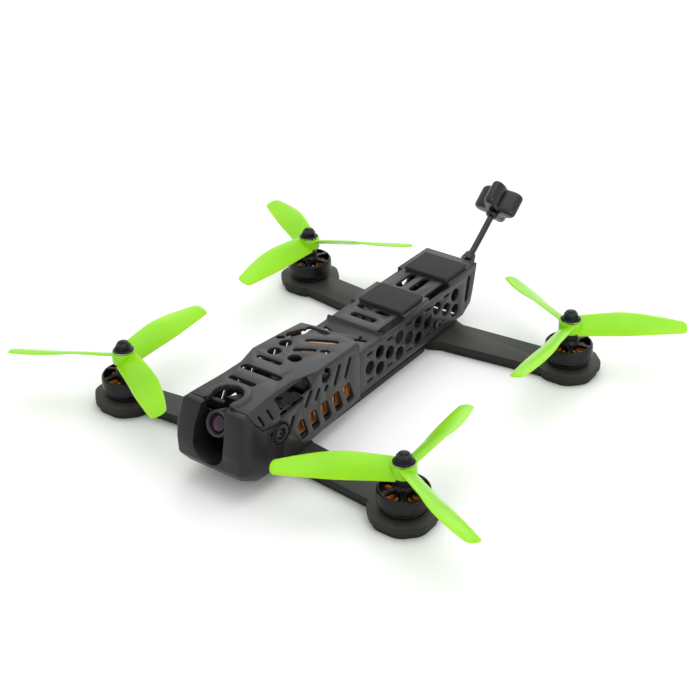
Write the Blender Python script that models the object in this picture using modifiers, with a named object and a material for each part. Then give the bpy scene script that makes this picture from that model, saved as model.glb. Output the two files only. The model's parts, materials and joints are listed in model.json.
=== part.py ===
"""Five-inch freestyle quadcopter, modelled as separate pieces in metres, +Z up.

The nose points along -Y, the aircraft's left side is +X, and Z = 0 is the plane the arms stand on.
The origin is midway between the four motor axes, on the underside of the belly plate.
"""
import math

import bmesh
import bpy
from mathutils import Matrix, Vector

MM = 0.001

# ---------------------------------------------------------------- driving sizes
WHEELBASE_X = 180.0 * MM          # left to right, motor axis to motor axis
WHEELBASE_Y = 163.0 * MM          # front to rear, motor axis to motor axis
PROP_RADIUS = 63.5 * MM           # five-inch propeller
GAP = 0.3 * MM                    # assembly gap between touching pieces

# arms, each a lower and an upper plate
ARM_PLATE = 3.35 * MM
ARM_INSET = 1.6 * MM              # the lower plate is slimmer along the boom
FRONT_ARM_WIDTH = 19.0 * MM
REAR_ARM_WIDTH = 23.5 * MM
FRONT_ARM_ROOT_Y = -72.5 * MM     # boom centre line where it passes under the body
REAR_ARM_ROOT_Y = 70.2 * MM
FRONT_ARM_SWEEP = 2.5 * MM        # the boom meets the pad this far inboard of the motor axis, along Y
REAR_ARM_SWEEP = 4.6 * MM
ARM_TAPER = 1.2 * MM              # each edge comes in by this much from root to pad
FRONT_GUSSET = 4.5 * MM
REAR_GUSSET = 3.5 * MM
PAD_RADIUS = 17.2 * MM            # motor pad, across its rounded octagon
PAD_ROUNDING = 10.0 * MM
MOTOR_BOLT_CIRCLE = 8.0 * MM
MOTOR_BOLT_RADIUS = 1.6 * MM

# plates under the body
BELLY_WIDTH = 26.0 * MM
BASE_PLATE = 2.0 * MM
BASE_PLATE_WIDTH = 31.0 * MM

# motor
BELL_RADIUS = 13.3 * MM
BELL_WALL = 1.3 * MM
BELL_BOTTOM = 11.1 * MM
BELL_RING_HEIGHT = 7.8 * MM
BELL_HUB_RADIUS = 4.6 * MM
SPOKE_COUNT = 6
SPOKE_WIDTH = 2.6 * MM
AIR_GAP = 0.5 * MM
STATOR_HEIGHT = 5.8 * MM
STATOR_TEETH = 12
BEARING_TUBE_RADIUS = 3.4 * MM
SHAFT_RADIUS = 2.5 * MM
SHAFT_CLEARANCE = 0.1 * MM
MOTOR_BASE_RADIUS = 11.4 * MM
MOTOR_BASE_HEIGHT = 2.2 * MM
PROP_HUB_RADIUS = 6.4 * MM
PROP_HUB_HEIGHT = 6.6 * MM
PROP_HUB_TOP = 32.7 * MM
NUT_FLANGE_RADIUS = 5.6 * MM
NUT_HEX_RADIUS = 4.4 * MM
NUT_HEIGHT = 5.7 * MM
PROP_PITCH = 110.0 * MM           # advance of the blade per turn
BLADE_ROOT_CHORD = 13.2 * MM
BLADE_MAX_CHORD = 15.4 * MM
BLADE_TIP_CHORD = 8.6 * MM
BLADE_THICKNESS = 1.7 * MM
BLADE_COUNT = 3

# body shells
SHELL = 1.8 * MM                  # wall of the canopy and the pod
BODY_BOTTOM = 9.6 * MM            # lower edge of both shells, on the base plate
CANOPY_FRONT_Y = -111.0 * MM      # where the canopy's panels would meet the nose's front
NOSE_REACH = 7.6 * MM             # the nose bulges this far ahead of that
NOSE_BOTTOM = 5.0 * MM
NOSE_WALL = 2.2 * MM
HATCH_RADIUS = 8.0 * MM
WINDOW_TOP_HALF = 7.0 * MM        # camera window, half its width at the top
WINDOW_HALF = 9.4 * MM            # and at its round bottom
WINDOW_BOTTOM = 17.0 * MM
WINDOW_CENTRE = 26.4 * MM         # height where the round bottom starts
BOSS_RADIUS = 5.2 * MM            # around the tilt screw
BOSS_GROOVE = 6.0 * MM
BOSS_FLANGE = 8.2 * MM
HATCH_Y = -101.0 * MM             # round opening above the camera
CANOPY_REAR_Y = -19.0 * MM
CANOPY_FRONT_HALF = 24.3 * MM
CANOPY_REAR_HALF = 20.0 * MM
CANOPY_FRONT_TOP = 47.6 * MM
POD_FRONT_HALF = 18.6 * MM
POD_REAR_HALF = 17.6 * MM
POD_TOP = 38.0 * MM
CANOPY_RISE = 6.4 * MM            # canopy above the pod where the two meet
CANOPY_REAR_TOP = POD_TOP + CANOPY_RISE
POD_STEP_Y = 4.0 * MM             # front edge of the raised deck
POD_STEP = 2.4 * MM
POD_REAR_Y = 102.3 * MM
LATTICE_PITCH = 19.0 * MM         # side holes of the pod, along Y
LATTICE_ROW = 5.1 * MM            # and between rows
LATTICE_HOLE = 3.9 * MM           # hole radius

SHOULDER_LEAN = 48.5              # degrees, slope of the canopy's shoulder facets
SHOULDER_OPENINGS = (             # along the shoulder: y, length, width and drop, in mm
    (-75.6, 25.0, 6.4, 0.0),
    (-103.2, 1.7, 5.6, 1.2),
    (-96.0, 1.7, 5.6, 1.2),
)

# battery deck
BAT_PAD = 2.3 * MM
BAT_PAD_WIDTH = 28.4 * MM
BAT_PAD_LENGTH = 22.0 * MM
BAT_PAD_SHIFT = 2.0 * MM          # both pads sit a little left of centre
FRONT_PAD_Y = 36.0 * MM
REAR_PAD_Y = 81.5 * MM
STRAP_SLOT = 2.0 * MM
STRAP_RIM = 1.4 * MM              # wall left outside a strap slot
STRAP_SILL = 2.8 * MM             # the wall beside a strap lies this far below the deck
STRAP_LENGTH = 20.0 * MM

# camera
CAMERA_TILT = 22.0                # degrees, upwards
PIVOT_Y = -91.0 * MM
PIVOT_Z = 28.6 * MM
CAMERA_SIDE = 19.0 * MM
LENS_RADIUS = 6.9 * MM
LENS_REACH = 21.5 * MM            # pivot to the front of the lens

# antenna
ANTENNA_X = 9.0 * MM
STEM_RADIUS = 1.9 * MM
HEAD_RADIUS = 13.6 * MM
HEAD_HEIGHT = 15.0 * MM
STEM_PITCH = 33.0                 # degrees above level where it leaves the pod
HEAD_PITCH = 37.0                 # and at the head
STEM_REACH = 34.0 * MM            # from the pod's rear wall to the collar
BOOT_LENGTH = 5.0 * MM

# ---------------------------------------------------------------- derived heights
ARM_TOP = 2 * ARM_PLATE + GAP
BASE_BOTTOM = ARM_TOP + GAP
BASE_TOP = BASE_BOTTOM + BASE_PLATE
MOTOR_X = WHEELBASE_X / 2
MOTOR_Y = WHEELBASE_Y / 2
CORNERS = {
    "front_left": (1, -1, "cw", 93.7),
    "front_right": (-1, -1, "ccw", 89.3),
    "rear_left": (1, 1, "ccw", 32.0),
    "rear_right": (-1, 1, "cw", 29.9),
}

PARTS = bpy.data.collections.new("quadcopter_drone")
CUTTERS = bpy.data.collections.new("cutters")


# ---------------------------------------------------------------- scene helpers
def clear_scene():
    for obj in list(bpy.data.objects):
        bpy.data.objects.remove(obj, do_unlink=True)
    bpy.context.scene.collection.children.link(PARTS)
    bpy.context.scene.collection.children.link(CUTTERS)


def material(name, colour, roughness, metallic=0.0):
    mat = bpy.data.materials.get(name)
    if mat is None:
        mat = bpy.data.materials.new(name)
        mat.use_nodes = True
        shader = mat.node_tree.nodes["Principled BSDF"]
        shader.inputs["Base Color"].default_value = (*colour, 1.0)
        shader.inputs["Roughness"].default_value = roughness
        shader.inputs["Metallic"].default_value = metallic
    return mat


def place(obj, collection=PARTS):
    for old in list(obj.users_collection):
        old.objects.unlink(obj)
    collection.objects.link(obj)
    if collection is CUTTERS:
        obj.hide_render = True
        obj.display_type = "WIRE"
    return obj


def mesh_object(name, bm, mat=None, collection=PARTS):
    bmesh.ops.recalc_face_normals(bm, faces=bm.faces)
    mesh = bpy.data.meshes.new(name)
    bm.to_mesh(mesh)
    bm.free()
    obj = bpy.data.objects.new(name, mesh)
    if mat:
        mesh.materials.append(mat)
    return place(obj, collection)


def smooth(obj, angle=35.0):
    obj.data.shade_smooth()
    obj.data.set_sharp_from_angle(angle=math.radians(angle))
    return obj


def freeze(obj):
    """Apply the object's modifiers to its mesh."""
    depsgraph = bpy.context.evaluated_depsgraph_get()
    mesh = bpy.data.meshes.new_from_object(obj.evaluated_get(depsgraph))
    obj.modifiers.clear()
    obj.data = mesh
    return obj


def combine(obj, other, operation):
    mod = obj.modifiers.new(operation.lower(), "BOOLEAN")
    mod.operation = operation
    mod.object = other
    mod.solver = "EXACT"
    return obj


def cut(obj, *cutters):
    for cutter in cutters:
        combine(obj, cutter, "DIFFERENCE")
    return freeze(obj)


def fuse(obj, *others):
    """Join overlapping solids into one body."""
    for other in others:
        combine(obj, other, "UNION")
    freeze(obj)
    for other in others:
        bpy.data.objects.remove(other, do_unlink=True)
    return obj


# ---------------------------------------------------------------- shape helpers
def box(name, size, centre, mat=None, collection=PARTS, bevel=0.0, rotation=None):
    bm = bmesh.new()
    bmesh.ops.create_cube(bm, size=1.0)
    bmesh.ops.scale(bm, vec=Vector(size), verts=bm.verts)
    if rotation:
        bmesh.ops.rotate(bm, matrix=rotation, verts=bm.verts)
    bmesh.ops.translate(bm, vec=Vector(centre), verts=bm.verts)
    obj = mesh_object(name, bm, mat, collection)
    if bevel:
        mod = obj.modifiers.new("edges", "BEVEL")
        mod.width = bevel
        mod.segments = 1
        freeze(obj)
    return obj


def cylinder(name, radius, depth, centre, axis="Z", segments=24, mat=None, collection=PARTS, top=None):
    bm = bmesh.new()
    far = radius if top is None else top
    bmesh.ops.create_cone(bm, cap_ends=True, segments=segments, radius1=radius, radius2=far, depth=depth)
    turn = {
        "X": Matrix.Rotation(math.pi / 2, 4, "Y"),
        "Y": Matrix.Rotation(-math.pi / 2, 4, "X"),
        "Z": Matrix.Identity(4),
    }[axis]
    bmesh.ops.transform(bm, matrix=Matrix.Translation(centre) @ turn, verts=bm.verts)
    return smooth(mesh_object(name, bm, mat, collection))


def prism(name, outline, low, high, axis="Z", mat=None, collection=PARTS):
    """A flat outline extruded along an axis: Z takes (x, y), X takes (y, z), Y takes (x, z)."""
    def point(a, b, c):
        return {"Z": (a, b, c), "X": (c, a, b), "Y": (a, c, b)}[axis]

    bm = bmesh.new()
    verts = [bm.verts.new(point(a, b, low)) for a, b in outline]
    face = bm.faces.new(verts)
    extruded = bmesh.ops.extrude_face_region(bm, geom=[face])
    moved = [item for item in extruded["geom"] if isinstance(item, bmesh.types.BMVert)]
    bmesh.ops.translate(bm, vec=Vector(point(0, 0, high - low)), verts=moved)
    return mesh_object(name, bm, mat, collection)


def rounded(points, radius, steps=3):
    """Round the corners of a closed outline with arcs tangent to both sides."""
    result = []
    count = len(points)
    for index in range(count):
        corner = Vector(points[index])
        back = (Vector(points[index - 1]) - corner)
        ahead = (Vector(points[(index + 1) % count]) - corner)
        turn = back.angle(ahead)
        reach = min(radius / math.tan(turn / 2), 0.45 * back.length, 0.45 * ahead.length)
        start = corner + back.normalized() * reach
        end = corner + ahead.normalized() * reach
        for step in range(steps + 1):
            t = step / steps
            result.append(tuple((1 - t) ** 2 * start + 2 * t * (1 - t) * corner + t ** 2 * end))
    return result


def capsule(start, end, radius, steps=2):
    """Outline of a slot with round ends between two points."""
    start, end = Vector(start), Vector(end)
    heading = math.atan2(end.y - start.y, end.x - start.x)
    points = []
    for centre, first in ((end, heading - math.pi / 2), (start, heading + math.pi / 2)):
        for step in range(steps + 1):
            angle = first + math.pi * step / steps
            points.append((centre.x + radius * math.cos(angle), centre.y + radius * math.sin(angle)))
    return points


def disc(centre, radius, steps=8):
    return [(centre[0] + radius * math.cos(2 * math.pi * (k + 0.5) / steps),
             centre[1] + radius * math.sin(2 * math.pi * (k + 0.5) / steps)) for k in range(steps)]


def lathe(name, profile, mat, steps=24, closed=True):
    """Turn a closed (radius, z) outline about Z."""
    bm = bmesh.new()
    verts = [bm.verts.new((radius, 0, z)) for radius, z in profile]
    pairs = list(zip(verts, verts[1:]))
    if closed:
        pairs.append((verts[-1], verts[0]))
    edges = [bm.edges.new(pair) for pair in pairs]
    bmesh.ops.spin(bm, geom=verts + edges, cent=(0, 0, 0), axis=(0, 0, 1), angle=2 * math.pi,
                   steps=steps, use_merge=True)
    bmesh.ops.remove_doubles(bm, verts=bm.verts, dist=0.01 * MM)
    return smooth(mesh_object(name, bm, mat), 40)


def loft(name, sections, mat=None, collection=PARTS, closed=False):
    """Skin a run of equal-length point lists; closed joins each list into a ring and caps both ends."""
    bm = bmesh.new()
    rows = [[bm.verts.new(point) for point in section] for section in sections]
    count = len(rows[0])
    for row, following in zip(rows, rows[1:]):
        for k in range(count if closed else count - 1):
            after = (k + 1) % count
            bm.faces.new((row[k], row[after], following[after], following[k]))
    if closed:
        bm.faces.new(rows[0])
        bm.faces.new(list(reversed(rows[-1])))
    return mesh_object(name, bm, mat, collection)


def thicken(obj, wall):
    """Give an open skin a wall on its inner side, in triangles because its panels are slightly twisted."""
    mod = obj.modifiers.new("wall", "SOLIDIFY")
    mod.thickness = wall
    mod.offset = -1.0
    mod.use_even_offset = True
    obj.modifiers.new("triangles", "TRIANGULATE")
    return freeze(obj)


def convex(name, points, mat=None, collection=PARTS):
    bm = bmesh.new()
    for point in points:
        bm.verts.new(point)
    bmesh.ops.convex_hull(bm, input=bm.verts)
    bmesh.ops.dissolve_limit(bm, angle_limit=math.radians(1), verts=bm.verts, edges=bm.edges)
    return mesh_object(name, bm, mat, collection)


def mirrored(points):
    """Both sides of a list of points on the +X side."""
    return points + [(-x, y, z) for x, y, z in points]


# ---------------------------------------------------------------- materials
def materials():
    return {
        "arm": material("carbon_arm", (0.045, 0.045, 0.038), 0.55),
        "plate": material("carbon_plate", (0.035, 0.035, 0.033), 0.5),
        "shell": material("twill_shell", (0.06, 0.06, 0.062), 0.4),
        "nose": material("nose_plastic", (0.02, 0.02, 0.021), 0.6),
        "prop": material("neon_blade", (0.38, 0.80, 0.03), 0.3),
        "bell": material("anodised_bell", (0.05, 0.05, 0.055), 0.3, 0.9),
        "copper": material("copper_winding", (0.72, 0.36, 0.16), 0.35, 1.0),
        "steel": material("shaft_steel", (0.62, 0.62, 0.63), 0.25, 1.0),
        "nut": material("black_steel", (0.03, 0.03, 0.035), 0.3, 1.0),
        "rubber": material("deck_rubber", (0.045, 0.045, 0.045), 0.85),
        "glass": material("lens_glass", (0.10, 0.03, 0.14), 0.05),
        "camera": material("camera_plastic", (0.015, 0.015, 0.016), 0.45),
        "board": material("circuit_board", (0.01, 0.03, 0.05), 0.45),
        "tape": material("amber_tape", (0.95, 0.50, 0.03), 0.35),
        "antenna": material("antenna_plastic", (0.012, 0.012, 0.014), 0.3),
    }


# ---------------------------------------------------------------- arms and plates
def motor_pad(centre_x, centre_y, radius):
    """Rounded octagon around a motor axis, its flats square to the booms."""
    flat = radius * 0.45
    points = [(radius, -flat), (radius, flat), (flat, radius), (-flat, radius),
              (-radius, flat), (-radius, -flat), (-flat, -radius), (flat, -radius)]
    return [(centre_x + x, centre_y + y) for x, y in rounded(points, PAD_ROUNDING, 2)]


def arm_plate(name, motor_y, sweep, root_y, width, gusset, inset, low, high, mat):
    """One plate of an arm pair: a boom across the aircraft with a pad at each end."""
    half = width / 2 - inset
    root = BASE_PLATE_WIDTH / 2 + 2 * MM
    tip = MOTOR_X - PAD_RADIUS * 0.55
    end_y = motor_y - math.copysign(sweep, motor_y)
    right_side = [
        (root - 4 * MM, root_y - half - gusset),
        (root + gusset, root_y - half),
        (tip, end_y - half + ARM_TAPER),
        (tip, end_y + half - ARM_TAPER),
        (root + gusset, root_y + half),
        (root - 4 * MM, root_y + half + gusset),
    ]
    outline = right_side + [(-x, y) for x, y in reversed(right_side)]
    arm = prism(name, outline, low, high, mat=mat)
    pads = [prism(name + "_pad", motor_pad(side * MOTOR_X, motor_y, PAD_RADIUS - inset), low, high)
            for side in (1, -1)]
    fuse(arm, *pads)
    holes = []
    for side in (1, -1):
        centre = (side * MOTOR_X, motor_y)
        holes.append((centre, SHAFT_RADIUS + 1.0 * MM, 8))
        for quarter in range(4):
            angle = math.radians(45 + 90 * quarter)
            spot = (centre[0] + MOTOR_BOLT_CIRCLE * math.cos(angle),
                    centre[1] + MOTOR_BOLT_CIRCLE * math.sin(angle))
            holes.append((spot, MOTOR_BOLT_RADIUS, 6))
    cutters = [prism(name + "_drill", disc(spot, radius, steps), low - MM, high + MM, collection=CUTTERS)
               for spot, radius, steps in holes]
    return cut(arm, *cutters)


def arms(mats):
    rows = (("front", (-MOTOR_Y, FRONT_ARM_SWEEP, FRONT_ARM_ROOT_Y, FRONT_ARM_WIDTH, FRONT_GUSSET)),
            ("rear", (MOTOR_Y, REAR_ARM_SWEEP, REAR_ARM_ROOT_Y, REAR_ARM_WIDTH, REAR_GUSSET)))
    for end, sizes in rows:
        arm_plate(end + "_arm_lower", *sizes, ARM_INSET, 0.0, ARM_PLATE, mats["arm"])
        arm_plate(end + "_arm_upper", *sizes, 0.0, ARM_PLATE + GAP, ARM_TOP, mats["arm"])


def plates(mats):
    front_edge = FRONT_ARM_ROOT_Y + FRONT_ARM_WIDTH / 2 + FRONT_GUSSET - ARM_INSET + GAP
    rear_edge = REAR_ARM_ROOT_Y - REAR_ARM_WIDTH / 2 - REAR_GUSSET + ARM_INSET - GAP
    half = BELLY_WIDTH / 2
    outline = [(half, front_edge), (half, rear_edge), (-half, rear_edge), (-half, front_edge)]
    belly = prism("belly_plate", rounded(outline, 4 * MM), 0.0, ARM_PLATE, mat=mats["plate"])
    slots = [prism("belly_slot", capsule((0, y - 9 * MM), (0, y + 9 * MM), 5 * MM), -MM, ARM_PLATE + MM,
                   collection=CUTTERS) for y in (-30 * MM, 30 * MM)]
    cut(belly, *slots)
    half = BASE_PLATE_WIDTH / 2
    front = PIVOT_Y - 10.7 * MM      # the base plate's tongue ends inside the nose
    rear = POD_REAR_Y - 16 * MM
    tongue = half - 3.5 * MM
    neck = PIVOT_Y + 2 * MM
    right_side = [(tongue, front), (tongue, neck), (half, neck + 6 * MM), (half, rear)]
    outline = right_side + [(-x, y) for x, y in reversed(right_side)]
    base = prism("base_plate", rounded(outline, 3 * MM, 2), BASE_BOTTOM, BASE_TOP, mat=mats["plate"])
    slots = [prism("base_slot", capsule((0, y - 8 * MM), (0, y + 8 * MM), 5 * MM), BASE_BOTTOM - MM,
                   BASE_TOP + MM, collection=CUTTERS) for y in (-4 * MM, 50 * MM)]
    cut(base, *slots)


# ---------------------------------------------------------------- motors
def shift(obj, x, y):
    obj.data.transform(Matrix.Translation((x, y, 0)))
    return obj


def motor_base(corner, x, y, mats):
    low = ARM_TOP + GAP
    tube_top = BELL_BOTTOM + BELL_RING_HEIGHT - 3.2 * MM
    bore = SHAFT_RADIUS + SHAFT_CLEARANCE
    profile = [
        (bore, low), (MOTOR_BASE_RADIUS, low), (MOTOR_BASE_RADIUS, low + 1.2 * MM),
        (MOTOR_BASE_RADIUS - 1.2 * MM, low + MOTOR_BASE_HEIGHT),
        (BEARING_TUBE_RADIUS, low + MOTOR_BASE_HEIGHT),
        (BEARING_TUBE_RADIUS, tube_top), (bore, tube_top),
    ]
    return shift(lathe("motor_base_" + corner, profile, mats["bell"], 16), x, y)


def stator(corner, x, y, mats):
    low = ARM_TOP + 2 * GAP + MOTOR_BASE_HEIGHT + 0.3 * MM
    outer = BELL_RADIUS - BELL_WALL - AIR_GAP
    inner = BEARING_TUBE_RADIUS + GAP
    count = STATOR_TEETH * 2
    outline = []
    for k in range(count):
        for part in (0.18, 0.82):
            angle = 2 * math.pi * (k + part) / count
            radius = outer if k % 2 == 0 else outer - 2.6 * MM
            outline.append((x + radius * math.cos(angle), y + radius * math.sin(angle)))
    body = prism("stator_" + corner, outline, low, low + STATOR_HEIGHT, mat=mats["copper"])
    return cut(body, prism("stator_bore", disc((x, y), inner, 16), low - MM, low + STATOR_HEIGHT + MM,
                           collection=CUTTERS))


def bell(corner, x, y, mats):
    top = BELL_BOTTOM + BELL_RING_HEIGHT
    inner = BELL_RADIUS - BELL_WALL
    hub_top = PROP_HUB_TOP - PROP_HUB_HEIGHT - GAP
    hub_low = top - 1.6 * MM
    bore = SHAFT_RADIUS + 0.05 * MM
    ring = lathe("bell_" + corner, [
        (inner, BELL_BOTTOM), (BELL_RADIUS - 0.4 * MM, BELL_BOTTOM), (BELL_RADIUS, BELL_BOTTOM + 0.4 * MM),
        (BELL_RADIUS, top - 0.8 * MM), (BELL_RADIUS - 0.8 * MM, top), (inner, top)], mats["bell"], 24)
    hub = lathe("bell_hub", [
        (bore, hub_low), (BELL_HUB_RADIUS + 1.4 * MM, hub_low), (BELL_HUB_RADIUS + 0.8 * MM, top + 1.4 * MM),
        (BELL_HUB_RADIUS, hub_top - 0.6 * MM), (BELL_HUB_RADIUS - 0.6 * MM, hub_top), (bore, hub_top)],
        mats["bell"], 12)
    spokes = []
    for k in range(SPOKE_COUNT):
        angle = 2 * math.pi * k / SPOKE_COUNT
        inner_end = BELL_HUB_RADIUS + 0.4 * MM
        outer_end = BELL_RADIUS - BELL_WALL / 2
        section_in = [(inner_end, -SPOKE_WIDTH / 2, hub_low + 0.3 * MM),
                      (inner_end, SPOKE_WIDTH / 2, hub_low + 0.3 * MM),
                      (inner_end, SPOKE_WIDTH / 2, top + 1.0 * MM),
                      (inner_end, -SPOKE_WIDTH / 2, top + 1.0 * MM)]
        section_out = [(outer_end, py, pz) for (_, py, _), pz in
                       zip(section_in, (top - 1.5 * MM, top - 1.5 * MM, top - 0.2 * MM, top - 0.2 * MM))]
        spoke = loft("spoke", [section_in, section_out], closed=True)
        spoke.data.transform(Matrix.Rotation(angle, 4, "Z"))
        spokes.append(spoke)
    fuse(ring, hub, *spokes)
    return shift(smooth(ring, 35), x, y)


def shaft(corner, x, y, mats):
    low = ARM_TOP + GAP + 0.3 * MM
    high = PROP_HUB_TOP + NUT_HEIGHT + 0.2 * MM
    middle = (low + high) / 2
    return cylinder("shaft_" + corner, SHAFT_RADIUS, high - low, (x, y, middle), segments=12,
                    mat=mats["steel"])


def nut(corner, x, y, mats):
    low = PROP_HUB_TOP + GAP
    bore = SHAFT_RADIUS + 0.05 * MM
    flange = lathe("nut_" + corner, [
        (bore, low), (NUT_FLANGE_RADIUS, low), (NUT_FLANGE_RADIUS, low + 0.8 * MM),
        (NUT_HEX_RADIUS - 0.5 * MM, low + 1.7 * MM), (bore, low + 1.7 * MM)], mats["nut"], 12)
    hexagon = cylinder("hex", NUT_HEX_RADIUS, 2.5 * MM, (0, 0, low + 2.35 * MM), segments=6,
                       mat=mats["nut"])
    high = low + NUT_HEIGHT
    collar = lathe("collar", [
        (bore, low + 3.3 * MM), (NUT_HEX_RADIUS * 0.78, low + 3.3 * MM),
        (NUT_HEX_RADIUS * 0.72, high - 1.2 * MM), (NUT_HEX_RADIUS * 0.66, high - 0.8 * MM),
        (bore, high - 0.8 * MM)], mats["nut"], 12)
    bore_cut = cylinder("nut_bore", bore, 20 * MM, (0, 0, low), segments=12, collection=CUTTERS)
    cut(hexagon, bore_cut)
    fuse(flange, hexagon, collar)
    return shift(smooth(flange, 30), x, y)


def blade_section(radius, heading, spin):
    """Closed ring of points across the blade at one radius; the leading edge is the higher one."""
    t = (radius - PROP_HUB_RADIUS) / (PROP_RADIUS - PROP_HUB_RADIUS)
    swell = math.sin(math.pi * min(t / 0.62, 1.0) * 0.5)
    chord = BLADE_ROOT_CHORD + (BLADE_MAX_CHORD - BLADE_ROOT_CHORD) * swell
    if t > 0.45:
        taper = ((t - 0.45) / 0.55) ** 1.6
        chord = chord + (BLADE_TIP_CHORD - chord) * taper
    twist = math.atan(PROP_PITCH / (2 * math.pi * max(radius, 27 * MM)))
    thick = BLADE_THICKNESS * (1.0 - 0.45 * t)
    sweep = 1.5 * MM * math.sin(math.pi * t)
    across = ((-0.5, 0.0), (-0.2, -0.35), (0.2, -0.4), (0.5, 0.0), (0.25, 0.6), (-0.15, 0.6))
    height = PROP_HUB_TOP - 0.52 * PROP_HUB_HEIGHT
    camber = 0.05 * chord
    points = []
    for u, v in across:
        along = u * chord + sweep
        lift = v * thick + camber * (1 - (2 * u) ** 2)
        side = along * math.cos(twist) - lift * math.sin(twist)
        rise = along * math.sin(twist) + lift * math.cos(twist)
        px = radius * math.cos(heading) - spin * side * math.sin(heading)
        py = radius * math.sin(heading) + spin * side * math.cos(heading)
        points.append((px, py, height + rise))
    return points


def propeller(corner, x, y, spin_name, first, mats):
    spin = 1 if spin_name == "ccw" else -1
    low = PROP_HUB_TOP - PROP_HUB_HEIGHT
    bore = SHAFT_RADIUS + 0.05 * MM
    hub = lathe("propeller_" + corner, [
        (bore, low), (PROP_HUB_RADIUS - 0.4 * MM, low), (PROP_HUB_RADIUS, low + 0.4 * MM),
        (PROP_HUB_RADIUS, PROP_HUB_TOP - 0.4 * MM), (PROP_HUB_RADIUS - 0.4 * MM, PROP_HUB_TOP),
        (bore, PROP_HUB_TOP)], mats["prop"], 18)
    blades = []
    stations = (0.055, 0.14, 0.3, 0.5, 0.7, 0.87, 0.97)
    for k in range(BLADE_COUNT):
        heading = math.radians(first + 360.0 * k / BLADE_COUNT)
        sections = [blade_section(PROP_RADIUS * share, heading, spin) for share in stations]
        last = blade_section(PROP_RADIUS, heading, spin)
        centre = sum((Vector(point) for point in last), Vector()) / len(last)
        sections.append([tuple(centre + (Vector(point) - centre) * 0.55) for point in last])
        blades.append(loft("blade", sections, closed=True))
    fuse(hub, *blades)
    bore_cut = cylinder("prop_bore", bore, 3 * PROP_HUB_HEIGHT, (0, 0, PROP_HUB_TOP), segments=12,
                        collection=CUTTERS)
    cut(hub, bore_cut)
    return shift(smooth(hub, 45), x, y)


def motors(mats):
    for corner, (side, end, spin, first) in CORNERS.items():
        x, y = side * MOTOR_X, end * MOTOR_Y
        motor_base(corner, x, y, mats)
        stator(corner, x, y, mats)
        bell(corner, x, y, mats)
        shaft(corner, x, y, mats)
        nut(corner, x, y, mats)
        propeller(corner, x, y, spin, first, mats)


# ---------------------------------------------------------------- canopy and nose
def canopy_half(y):
    share = (y - CANOPY_FRONT_Y) / (CANOPY_REAR_Y - CANOPY_FRONT_Y)
    return CANOPY_FRONT_HALF + (CANOPY_REAR_HALF - CANOPY_FRONT_HALF) * share


def pod_half(y):
    share = (y - CANOPY_REAR_Y) / (POD_REAR_Y - CANOPY_REAR_Y)
    return POD_FRONT_HALF + (POD_REAR_HALF - POD_FRONT_HALF) * share


def canopy_section(y, chamfer_low, top_half, top, crown, half=None):
    """Points across the canopy from one lower edge over the top to the other."""
    half = half or canopy_half(y)
    right = [(half, BODY_BOTTOM), (half, chamfer_low), (top_half, top), (top_half * 0.5, top + crown * 0.8)]
    across = right + [(0.0, top + crown)] + [(-x, z) for x, z in reversed(right)]
    return [(x, y, z) for x, z in across]


def canopy_sections():
    fade_y = CANOPY_FRONT_Y + 54.5 * MM      # where the shoulder facet closes into a plain fold
    front_low = CANOPY_FRONT_TOP - 8.9 * MM
    middle_top = (CANOPY_FRONT_TOP + CANOPY_REAR_TOP) / 2
    return [
        canopy_section(CANOPY_FRONT_Y + 1.5 * MM, CANOPY_FRONT_TOP - 5.0 * MM, 18.0 * MM,
                       CANOPY_FRONT_TOP - 0.6 * MM, 0.3 * MM, CANOPY_FRONT_HALF - 1.2 * MM),
        canopy_section(CANOPY_FRONT_Y + 8 * MM, CANOPY_FRONT_TOP - 7.2 * MM, 17.4 * MM,
                       CANOPY_FRONT_TOP - 0.4 * MM, 0.4 * MM),
        canopy_section(CANOPY_FRONT_Y + 24 * MM, front_low, 16.2 * MM, CANOPY_FRONT_TOP - 0.5 * MM, 0.5 * MM),
        canopy_section(CANOPY_FRONT_Y + 40 * MM, front_low + 0.2 * MM, 16.4 * MM, middle_top + 0.6 * MM,
                       0.5 * MM),
        canopy_section(fade_y, middle_top - 1.4 * MM, canopy_half(fade_y) - 1.2 * MM, middle_top - 0.1 * MM,
                       0.6 * MM),
        canopy_section(CANOPY_REAR_Y - 14 * MM, CANOPY_REAR_TOP - 0.9 * MM,
                       canopy_half(CANOPY_REAR_Y) - 0.6 * MM, CANOPY_REAR_TOP + 0.2 * MM, 1.2 * MM),
        canopy_section(CANOPY_REAR_Y, CANOPY_REAR_TOP - 1.9 * MM, canopy_half(CANOPY_REAR_Y) - 1.8 * MM,
                       CANOPY_REAR_TOP - 0.6 * MM, 1.2 * MM),
    ]


def seam_line(shift_by):
    """Side-view line (y, z) where the nose moulding meets the canopy, top front to bottom."""
    top_y = CANOPY_FRONT_Y + 2.7 * MM
    line = [(top_y, 70 * MM), (top_y, CANOPY_FRONT_TOP - 4.2 * MM),
            (top_y + 4.1 * MM, CANOPY_FRONT_TOP - 9.7 * MM)]
    line = [(y + shift_by, z + shift_by) for y, z in line]
    around = BOSS_GROOVE + GAP + shift_by
    for angle in (110, 70, 35, 0, -35, -70):
        turn = math.radians(angle)
        line.append((PIVOT_Y + around * math.cos(turn), PIVOT_Z + around * math.sin(turn)))
    line.append((PIVOT_Y + 2.4 * MM + shift_by, -5 * MM))
    return line


def nose_front(height):
    """How far forward the nose's face stands at a height: it leans back towards the top."""
    low, high = WINDOW_CENTRE, CANOPY_FRONT_TOP
    lean = max(0.0, (height - low) / (high - low))
    return CANOPY_FRONT_Y - NOSE_REACH + 5.8 * MM * lean ** 1.2


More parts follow.
